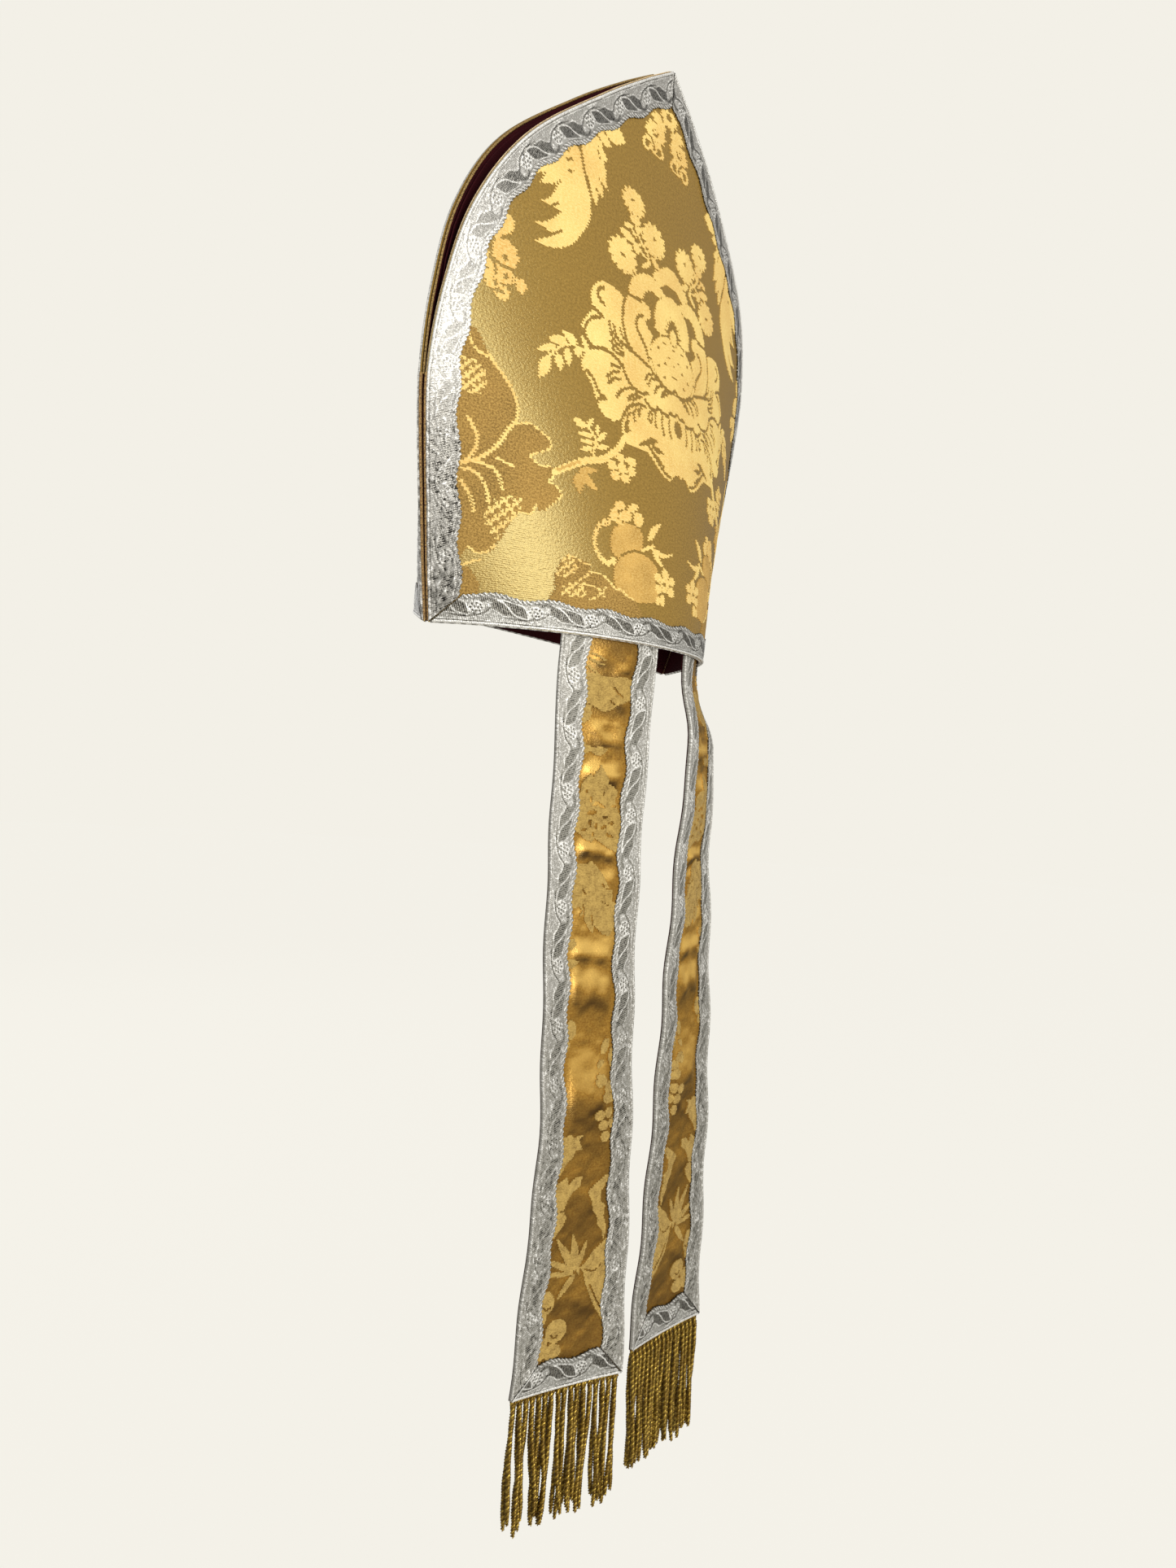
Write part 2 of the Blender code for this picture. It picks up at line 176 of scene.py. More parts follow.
# how every piece is made: points in metres, and where each lies in the flat cloth, for the weave
def addPiece(name, points, faces, flat, finish, tone=None, replaces=(), sharp=42):
    mesh = bpy.data.meshes.new(name)
    mesh.from_pydata([tuple(p) for p in np.asarray(points).reshape(-1, 3).tolist()], [], faces)
    mesh.update()
    work = bmesh.new()
    work.from_mesh(mesh)
    bmesh.ops.recalc_face_normals(work, faces=work.faces)
    work.to_mesh(mesh)
    work.free()
    spots = np.zeros((len(mesh.vertices), 3), np.float32)
    spots[:, :flat.shape[-1]] = flat.reshape(-1, flat.shape[-1])
    mesh.attributes.new("flat", "FLOAT_VECTOR", "POINT").data.foreach_set("vector", spots.ravel())
    if tone is not None:
        tones = mesh.attributes.new("tone", "FLOAT", "POINT").data
        tones.foreach_set("value", np.asarray(tone, np.float32).ravel())
    mesh.materials.append(finish)
    mesh.shade_smooth()
    mesh.set_sharp_from_angle(angle=math.radians(sharp))
    piece = bpy.data.objects.new(name, mesh)
    bpy.context.scene.collection.objects.link(piece)
    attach(piece, "root")
    if replaces:
        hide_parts(*replaces)
    return piece


# a cloth between an outer and an inner grid of points, with the wall round its border
def addSheet(name, outside, inside, flat, finish, slot, tone=None, replaces=()):
    n, m = outside.shape[:2]
    inner, faces = n * m, []
    for i in range(n - 1):
        for a in range(i * m, i * m + m - 1):
            faces.append((a, a + 1, a + m + 1, a + m))
            faces.append((inner + a, inner + a + m, inner + a + m + 1, inner + a + 1))
    border = list(range(m)) + [i * m + m - 1 for i in range(1, n)]
    border += [(n - 1) * m + j for j in range(m - 2, -1, -1)] + [i * m for i in range(n - 2, 0, -1)]
    faces += [(b, a, inner + a, inner + b) for a, b in zip(border, border[1:] + border[:1])]
    points = np.concatenate([outside.reshape(-1, 3), inside.reshape(-1, 3)])
    flat = np.concatenate([flat.reshape(-1, 2)] * 2)
    both = None if tone is None else np.tile(tone.ravel(), 2)
    return addPiece(name, points, faces, flat, finish, both, replaces)


def lengthAlong(path):  # the distance travelled at each point
    return np.concatenate([[0], np.cumsum(np.linalg.norm(np.diff(path, axis=0), axis=1))])


def carriedAxes(path):  # two directions square to the path, carried along it without twist
    ahead = np.roll(path, -1, 0) - np.roll(path, 1, 0)
    ahead[0], ahead[-1] = path[1] - path[0], path[-1] - path[-2]
    ahead /= np.linalg.norm(ahead, axis=1)[:, None]
    first = np.cross(ahead[0], (0.3, 0.2, 0.93) if abs(ahead[0][2]) < 0.9 else (1.0, 0.1, 0.0))
    normal = [first / np.linalg.norm(first)]
    for onward in ahead[1:]:
        carried = normal[-1] - onward * normal[-1].dot(onward)
        normal.append(carried / np.linalg.norm(carried))
    return np.array(normal), np.cross(ahead, normal)


def tubeMesh(path, radius, sides):  # a closed tube's points and faces
    n = len(path)
    normal, other = carriedAxes(path)
    turn = np.arange(sides) * math.tau / sides
    ring = path[:, None] + np.broadcast_to(radius, n)[:, None, None] * (
        normal[:, None] * np.cos(turn)[None, :, None] + other[:, None] * np.sin(turn)[None, :, None])
    faces = []
    for a in range(0, (n - 1) * sides, sides):
        b = a + sides
        faces += [(a + j, a + (j + 1) % sides, b + (j + 1) % sides, b + j) for j in range(sides)]
    faces += [tuple(range(sides))[::-1], tuple(range((n - 1) * sides, n * sides))]
    return ring.reshape(-1, 3), faces


def put(tree, kind, inputs=None, **settings):  # one node, its inputs set or linked
    node = tree.nodes.new(kind)
    for name, value in settings.items():
        setattr(node, name, value)
    for name, value in (inputs or {}).items():
        if isinstance(value, bpy.types.NodeSocket):
            tree.links.new(value, node.inputs[name])
        else:
            node.inputs[name].default_value = value
    return node


def sums(tree, operation, a, b=0.0, c=0.0, clamp=False):
    return put(tree, "ShaderNodeMath", {0: a, 1: b, 2: c}, operation=operation, use_clamp=clamp).outputs[0]


def mixed(tree, factor, a, b):
    return put(tree, "ShaderNodeMix", {"Factor": factor, 6: a, 7: b}, data_type="RGBA").outputs[2]


def newGroup(name, inputs, outputs):
    group = bpy.data.node_groups.new(name, "ShaderNodeTree")
    for label, kind, value in inputs:
        socket = group.interface.new_socket(label, in_out="INPUT", socket_type=kind)
        if value is not None:
            socket.default_value = value
    for label, kind in outputs:
        group.interface.new_socket(label, in_out="OUTPUT", socket_type=kind)
    return group, group.nodes.new("NodeGroupInput").outputs, group.nodes.new("NodeGroupOutput").inputs


def useGroup(tree, group, inputs):
    return put(tree, "ShaderNodeGroup", inputs, node_tree=group).outputs


def makeWeaveGroup():  # threads lying along x, with short floats: a height and a shade
    group, given, gives = newGroup(
        "clothWeave",
        [("Flat", "NodeSocketVector", None), ("Across Pitch", "NodeSocketFloat", 0.0005),
         ("Float Length", "NodeSocketFloat", 0.0025), ("Unevenness", "NodeSocketFloat", 0.5)],
        [("Height", "NodeSocketFloat"), ("Shade", "NodeSocketFloat")])
    spot = put(group, "ShaderNodeSeparateXYZ", {0: given["Flat"]}).outputs
    x = sums(group, "DIVIDE", spot[0], given["Float Length"])
    y = sums(group, "DIVIDE", spot[1], given["Across Pitch"])
    cell = put(group, "ShaderNodeCombineXYZ", {0: x, 1: y, 2: spot[2]}).outputs[0]
    floats = put(group, "ShaderNodeTexNoise", {"Vector": cell, "Scale": 1.0, "Detail": 2.0,
                                               "Roughness": 0.6}).outputs[0]
    ribs = sums(group, "MULTIPLY_ADD", sums(group, "SINE", sums(group, "MULTIPLY", y, math.tau)), 0.25, 0.5)
    group.links.new(sums(group, "MULTIPLY_ADD", floats, given["Unevenness"], ribs), gives["Height"])
    shade = sums(group, "MULTIPLY", sums(group, "SUBTRACT", floats, 0.36), 3.4, clamp=True)
    group.links.new(shade, gives["Shade"])
    return group


def makeSoftGroup():  # slow change of tone over the cloth, from handling and hanging
    group, given, gives = newGroup(
        "softChange", [("Flat", "NodeSocketVector", None), ("Size", "NodeSocketFloat", 0.03),
                       ("Contrast", "NodeSocketFloat", 1.0)],
        [("Tone", "NodeSocketFloat")])
    larger = sums(group, "DIVIDE", 1.0, given["Size"])
    spot = put(group, "ShaderNodeVectorMath", {0: given["Flat"], "Scale": larger}, operation="SCALE")
    noise = put(group, "ShaderNodeTexNoise", {"Vector": spot.outputs[0], "Scale": 1.0, "Detail": 3.0,
                                              "Roughness": 0.55}).outputs[0]
    spread = sums(group, "MULTIPLY", sums(group, "SUBTRACT", noise, 0.5), given["Contrast"])
    group.links.new(sums(group, "ADD", spread, 0.5), gives["Tone"])
    return group


weaveGroup, softGroup = makeWeaveGroup(), makeSoftGroup()


def colour(code):  # a colour as it looks on a screen, to the linear one that Blender keeps
    parts = [int(code[i:i + 2], 16) / 255 for i in (0, 2, 4)]
    return tuple(c / 12.92 if c <= 0.04045 else ((c + 0.055) / 1.055) ** 2.4 for c in parts) + (1.0,)


def newMaterial(name, roughness, metallic):
    made = bpy.data.materials.new(name)
    made.use_nodes = True
    shader = made.node_tree.nodes["Principled BSDF"]
    shader.inputs["Roughness"].default_value = roughness
    shader.inputs["Metallic"].default_value = metallic
    return made, made.node_tree, shader


def flatPlace(tree):  # each point's place in the flat cloth
    return put(tree, "ShaderNodeAttribute", attribute_name="flat").outputs["Vector"]


def toneThere(tree):
    return put(tree, "ShaderNodeAttribute", attribute_name="tone").outputs["Fac"]


def linkBump(tree, shader, strength, depth, height):
    bump = put(tree, "ShaderNodeBump", {"Strength": strength, "Distance": depth, "Height": height})
    tree.links.new(bump.outputs[0], shader.inputs["Normal"])


def wovenCloth(name, look):  # a cloth with its weave, a soft change of tone, and a light and dark colour
    made, tree, shader = newMaterial(name, look["roughness"], look["metallic"])
    for socket, value in look.get("shader", {}).items():
        shader.inputs[socket].default_value = value
    flat = flatPlace(tree)
    weave = useGroup(tree, weaveGroup, {"Flat": flat, "Across Pitch": look["pitch"],
                                        "Float Length": look["float"], "Unevenness": look["uneven"]})
    soft = useGroup(tree, softGroup, {"Flat": flat, "Size": look["softSize"],
                                      "Contrast": look["softContrast"]})
    base = mixed(tree, soft["Tone"], colour(look["dark"]), colour(look["light"]))
    thread = mixed(tree, sums(tree, "MULTIPLY", weave["Shade"], look["threadShade"]), base,
                   colour(look["thread"]))
    if "paintedHighlightColour" in look:  # the tone says how far a satin's floats lean towards the light, or away from it, and paints that into the colour as a highlight or as shade
        tone = toneThere(tree)
        for code, slope, offset in (("paintedShadeColour", -2.0, 1.0), ("paintedHighlightColour", 2.0, -1.0)):
            part = sums(tree, "MULTIPLY_ADD", tone, slope, offset, clamp=True)
            thread = mixed(tree, part, thread, colour(look[code]))
    tree.links.new(thread, shader.inputs["Base Color"])
    linkBump(tree, shader, look["bump"], look["bumpDepth"], weave["Height"])
    return made


motifLook = {"roughness": 0.55, "metallic": 0.0, "pitch": 0.0008, "uneven": 1.6, "bump": 0.6,
             "bumpDepth": 0.00016}
edgeLook = {"metallic": 0.0, "pitch": 0.0009, "float": 0.0013, "uneven": 1.0, "bump": 0.8,
            "bumpDepth": 0.0002}
clothLooks = {
    "brocadeGround": {
        "dark": "7C5E26", "light": "88692C", "thread": "AE8A42", "threadShade": 0.5, "roughness": 0.3,
        "metallic": 0.0, "pitch": 0.0011, "float": 0.0015, "uneven": 3.6, "softSize": 0.06,
        "softContrast": 0.9, "bump": 0.6, "bumpDepth": 0.0001,
        "shader": {"IOR": 2.3, "Specular Tint": (1.0, 0.88, 0.42, 1.0)}},
    "brocadeFlowers": dict(
        motifLook, dark="CFA254", light="EACD7A", thread="FFEBA6", threadShade=0.34, float=0.0018,
        softSize=0.05, softContrast=2.4, shader={"Specular Tint": (1.0, 0.86, 0.5, 1.0)}),
    "brocadeFruits": dict(
        motifLook, dark="A67E3A", light="C79C50", thread="E6C47A", threadShade=0.45, float=0.0013,
        softSize=0.012, softContrast=2.6, shader={"Specular Tint": (1.0, 0.8, 0.4, 1.0)}),
    "brocadeLeaves": dict(
        motifLook, dark="634A20", light="8E6C34", thread="C9A25A", threadShade=0.62, roughness=0.65,
        pitch=0.0009, float=0.0010, bump=0.9, softSize=0.045, softContrast=2.6,
        shader={"Specular Tint": (1.0, 0.75, 0.35, 1.0)}),
    "turnedEdge": dict(
        edgeLook, dark="8A6434", light="D8B47C", thread="FBEBC6", threadShade=0.8, roughness=0.5,
        softSize=0.004, softContrast=3.0),
    # the same turned edge on the front panel, painted darker as shade
    "turnedEdgePaintedShade": dict(
        edgeLook, dark="241406", light="7A5420", thread="F0CC80", threadShade=0.6, roughness=0.45,
        metallic=0.2, softSize=0.003, softContrast=4.5),
    "seamEdge": dict(
        edgeLook, dark="3A220E", light="74502A", thread="E8BE74", threadShade=0.55, roughness=0.6,
        softSize=0.003, softContrast=3.4),
    "burgundyCloth": {
        "dark": "1E0307", "light": "38080F", "thread": "500E17", "threadShade": 0.35, "roughness": 0.8,
        "metallic": 0.0, "pitch": 0.0006, "float": 0.0008, "uneven": 0.8, "softSize": 0.03,
        "softContrast": 1.5, "bump": 0.4, "bumpDepth": 0.0001, "shader": {"Specular IOR Level": 0.15}},
}
clothLooks["lappetSatin"] = dict(  # the same brocade, creased, with a highlight and shade painted where its floats turn to and from the light
    clothLooks["brocadeGround"], dark="90601A", light="B8822E", thread="DCAC4C", paintedShadeColour="4A2A06",
    paintedHighlightColour="FFCE6C", softSize=0.014, softContrast=1.4, roughness=0.36, metallic=0.5)
clothLooks["lappetFlowers"] = dict(
    clothLooks["brocadeFruits"], dark="7C602E", light="A88A4A", thread="CDAC62", softSize=0.004,
    softContrast=3.0)
cloths = {name: wovenCloth(name, look) for name, look in clothLooks.items()}

galloonLook = {
    # the seam colour is the darkest: it is also painted as shadow under the scalloped edges and as shade
    # along the mitres
    "seam": "24211E", "cord": "F6F4EE", "leafAt": 0.17, "groundAt": 0.66, "hatchPitch": 0.0011,
    "hatchSlant": 0.35, "cracklePitch": 0.0009, "crackleTone": 0.26, "sparkle": 1100.0, "sparkleTone": 1.1,
    "bump": 0.7, "bumpDepth": 0.0002,
    "finishes": {  # one thread, in lit and shaded copies: each band's colours are painted lighter or darker for how the light falls on it
        "rim": {"leaf": "6C685E", "ground": "AAA8A1", "leafRoughness": 0.33, "groundRoughness": 0.4,
                "leafMetal": 0.6, "groundMetal": 0.45, "hatching": 0.55},
        "side": {"leaf": "908D85", "ground": "AEABA4", "leafRoughness": 0.32, "groundRoughness": 0.42,
                 "leafMetal": 0.8, "groundMetal": 0.5, "hatching": 0.4},
        "lappet": {"leaf": "807D72", "ground": "A6A39B", "leafRoughness": 0.45, "groundRoughness": 0.5,
                   "leafMetal": 0.35, "groundMetal": 0.35, "hatching": 0.7}},
}


def makeGalloonMaterial(finish):  # silver thread: satin leaves that mirror, a crackled ground, white cords
    look = galloonLook["finishes"][finish]
    made, tree, shader = newMaterial(f"silverThread_{finish}", look["groundRoughness"], look["groundMetal"])
    flat, tone = flatPlace(tree), toneThere(tree)
    crackle = put(tree, "ShaderNodeTexVoronoi", {"Vector": flat, "Scale": 1 / galloonLook["cracklePitch"]},
                  feature="F1").outputs
    cells = put(tree, "ShaderNodeSeparateColor", {0: crackle["Color"]}).outputs[0]
    fine = put(tree, "ShaderNodeTexNoise", {"Vector": flat, "Scale": galloonLook["sparkle"], "Detail": 2.0,
                                            "Roughness": 0.7}).outputs[0]
    spot = put(tree, "ShaderNodeSeparateXYZ", {0: flat}).outputs
    slant = sums(tree, "ADD", spot[0], sums(tree, "MULTIPLY", spot[1], galloonLook["hatchSlant"]))
    hatch = sums(tree, "SINE", sums(tree, "MULTIPLY", slant, math.tau / galloonLook["hatchPitch"]))
    uneven = sums(tree, "ADD",
                  sums(tree, "MULTIPLY", sums(tree, "SUBTRACT", cells, 0.5), galloonLook["crackleTone"]),
                  sums(tree, "MULTIPLY", sums(tree, "SUBTRACT", fine, 0.5), galloonLook["sparkleTone"]))
    shaded = sums(tree, "MULTIPLY", sums(tree, "SUBTRACT", 0.5, tone), look["hatching"], clamp=True)
    lit = sums(tree, "ADD", sums(tree, "ADD", tone, uneven), sums(tree, "MULTIPLY", hatch, shaded))
    ramp = put(tree, "ShaderNodeValToRGB", {0: lit})
    stops = ramp.color_ramp.elements
    stops[0].position, stops[0].color = 0.0, colour(galloonLook["seam"])
    stops[1].position, stops[1].color = 1.0, colour(galloonLook["cord"])
    stops.new(galloonLook["leafAt"]).color = colour(look["leaf"])
    stops.new(galloonLook["groundAt"]).color = colour(look["ground"])
    tree.links.new(ramp.outputs[0], shader.inputs["Base Color"])
    for socket, near, far in (("Roughness", "leafRoughness", "groundRoughness"),
                              ("Metallic", "leafMetal", "groundMetal")):
        turned = put(tree, "ShaderNodeMapRange", {"Value": tone, "From Min": 0.3, "From Max": 0.55,
                                                  "To Min": look[near], "To Max": look[far]})
        tree.links.new(turned.outputs[0], shader.inputs[socket])
    height = sums(tree, "ADD", sums(tree, "ADD", cells, sums(tree, "MULTIPLY", fine, 2.0)),
                  sums(tree, "MULTIPLY", hatch, 0.3))
    linkBump(tree, shader, galloonLook["bump"], galloonLook["bumpDepth"], height)
    return made


silver = {finish: makeGalloonMaterial(finish) for finish in galloonLook["finishes"]}

bullionLook = {"dark": "4E380E", "light": "8A6A20", "glint": "F0CC5C", "glintShare": 0.7, "roughness": 0.34,
               "metallic": 0.65, "softSize": 0.003, "softContrast": 1.6, "wirePitch": 0.0004,
               "wireLength": 0.002, "uneven": 0.5, "bump": 0.5, "bumpDepth": 0.0001}


def makeBullionMaterial():  # gold wire wound round a core: darker in the grooves, with glints painted on the crowns as a highlight
    made, tree, shader = newMaterial("bullionCord", bullionLook["roughness"], bullionLook["metallic"])
    flat, tone = flatPlace(tree), toneThere(tree)
    soft = useGroup(tree, softGroup, {"Flat": flat, "Size": bullionLook["softSize"],
                                      "Contrast": bullionLook["softContrast"]})
    worn = mixed(tree, soft["Tone"], colour(bullionLook["dark"]), colour(bullionLook["light"]))
    crowns = sums(tree, "MULTIPLY", tone, bullionLook["glintShare"])
    tree.links.new(mixed(tree, crowns, worn, colour(bullionLook["glint"])), shader.inputs["Base Color"])
    wire = useGroup(tree, weaveGroup, {"Flat": flat, "Across Pitch": bullionLook["wirePitch"],
                                       "Float Length": bullionLook["wireLength"],
                                       "Unevenness": bullionLook["uneven"]})
    linkBump(tree, shader, bullionLook["bump"], bullionLook["bumpDepth"], wire["Height"])
    return made


bullion = makeBullionMaterial()
print("materials made")

# the brocade's design, drawn in millimetres on the flat cloth: each cell of a chart holds a weave, 0 for the
# ground, 1 for flowers, 2 for leaves and 3 for fruits
brocade = {
    "cell": 0.8, "halfChart": (160, 0, 340), "tipChart": (0, 40, 270, 340), "fullChart": (-150, 150, 0, 330),
    "lappetChart": (-38, 38, 2, 388), "axis": -2.2, "tipAxis": 2.3, "axisTurns": (235.0, 285.0),
    "tipFrom": 272, "edgeFree": 3.0, "jag": 0.85, "spread": 5.0,
    "rise": 0.0003, "stripRise": 0.0006, "sunk": 0.00015, "puff": 0.00008}  # these in metres


def newChart(left, right, low, high, cell):
    xs, ys = np.arange(left, right, cell) + cell / 2, np.arange(low, high, cell) + cell / 2
    return {"x": xs, "y": ys, "cell": cell, "weave": np.zeros((len(ys), len(xs)), np.int8)}


def chartWindow(chart, x0, x1, y0, y1):
    i0, i1 = np.searchsorted(chart["x"], (x0, x1))
    j0, j1 = np.searchsorted(chart["y"], (y0, y1))
    gx, gy = np.meshgrid(chart["x"][i0:i1], chart["y"][j0:j1])
    return gx, gy, chart["weave"][j0:j1, i0:i1]


def rounded(points, closed=True, steps=4):  # a smooth line through the points
    p = np.asarray(points, float)
    if closed:
        before, after, after2 = np.roll(p, 1, 0), np.roll(p, -1, 0), np.roll(p, -2, 0)
    else:
        before = np.vstack([2 * p[0] - p[1], p[:-2]])
        after = p[1:]
        after2 = np.vstack([p[2:], 2 * p[-1] - p[-2]])
    start = p if closed else p[:-1]
    line = []
    for k in range(steps):
        t = k / steps
        line.append(0.5 * (2 * start + (after - before) * t
                           + (2 * before - 5 * start + 4 * after - after2) * t * t
                           + (3 * start - before - 3 * after + after2) * t ** 3))
    line = np.stack(line, 1).reshape(-1, 2)
    return line if closed else np.vstack([line, p[-1]])


def drawShape(chart, outline, weave=1, smooth=True, net=None):  # net: the pitch and width of a net's cords
    p = rounded(outline) if smooth else np.asarray(outline, float)
    gx, gy, cells = chartWindow(chart, p[:, 0].min(), p[:, 0].max(), p[:, 1].min(), p[:, 1].max())
    inside = np.zeros(gx.shape, bool)
    for (x0, y0), (x1, y1) in zip(p, np.roll(p, -1, 0)):
        if y0 != y1:
            inside ^= ((y0 > gy) != (y1 > gy)) & (gx < x0 + (gy - y0) * (x1 - x0) / (y1 - y0))
    if net:
        a, b = (gx + gy) / math.sqrt(2) % net[0], (gx - gy) / math.sqrt(2) % net[0]
        inside &= (a < net[1]) | (b < net[1])
    cells[inside] = weave


def drawNet(chart, outline, pitch, wide):  # a berry cone: a net over a leaf
    drawShape(chart, outline, 2)
    drawShape(chart, outline, net=(pitch, wide))


def drawOval(chart, x, y, rx, ry, weave=1, turn=0.0):
    reach = max(rx, ry) + 1
    gx, gy, cells = chartWindow(chart, x - reach, x + reach, y - reach, y + reach)
    c, s = math.cos(math.radians(turn)), math.sin(math.radians(turn))
    u, v = ((gx - x) * c + (gy - y) * s) / rx, (-(gx - x) * s + (gy - y) * c) / ry
    cells[u * u + v * v < 1] = weave


def drawOvals(chart, rows, weave=1):  # x, y and the half sizes, and a turn in degrees where it has one
    for x, y, rx, ry, *turn in rows:
        drawOval(chart, x, y, rx, ry, weave, *turn)


def drawDaisy(chart, x, y, rx, ry, petals, notch):  # a round flower with a notched edge
    gx, gy, cells = chartWindow(chart, x - rx - 1, x + rx + 1, y - ry - 1, y + ry + 1)
    u, v = (gx - x) / rx, (gy - y) / ry
    wave = np.abs(np.sin(petals / 2 * np.arctan2(v, u)))
    cells[np.hypot(u, v) < 1 - notch + notch * wave ** 0.6] = 1


def drawLine(chart, points, wide, weave=1, taper=0.0):  # a stroke, narrower towards its end by taper
    p = rounded(points, closed=False, steps=6)
    gx, gy, cells = chartWindow(chart, p[:, 0].min() - wide, p[:, 0].max() + wide,
                                p[:, 1].min() - wide, p[:, 1].max() + wide)
    hit = np.zeros(gx.shape, bool)
    for k, ((x0, y0), (x1, y1)) in enumerate(zip(p[:-1], p[1:])):
        length = (x1 - x0) ** 2 + (y1 - y0) ** 2 + 1e-9
        t = np.clip(((gx - x0) * (x1 - x0) + (gy - y0) * (y1 - y0)) / length, 0, 1)
        near = np.hypot(gx - x0 - t * (x1 - x0), gy - y0 - t * (y1 - y0))
        hit |= near < wide / 2 * (1 - taper * (k + t) / (len(p) - 1))
    cells[hit] = weave


def drawLines(chart, lines, wide, weave=1, taper=0.0):
    for points in lines:
        drawLine(chart, points, wide, weave, taper)


def drawLeaf(chart, base, tip, wide, weave=1, bow=0.0):  # a pointed leaf between two points
    base, tip = np.array(base, float), np.array(tip, float)
    ahead = tip - base
    side = np.array([-ahead[1], ahead[0]]) / np.linalg.norm(ahead)
    t = np.linspace(0, 1, 13)
    middle = base + ahead * t[:, None] + side * (bow * np.sin(math.pi * t))[:, None]
    reach = side * (wide / 2 * np.sin(math.pi * t ** 0.8))[:, None]
    drawShape(chart, np.vstack([middle + reach, (middle - reach)[::-1]]), weave, smooth=False)


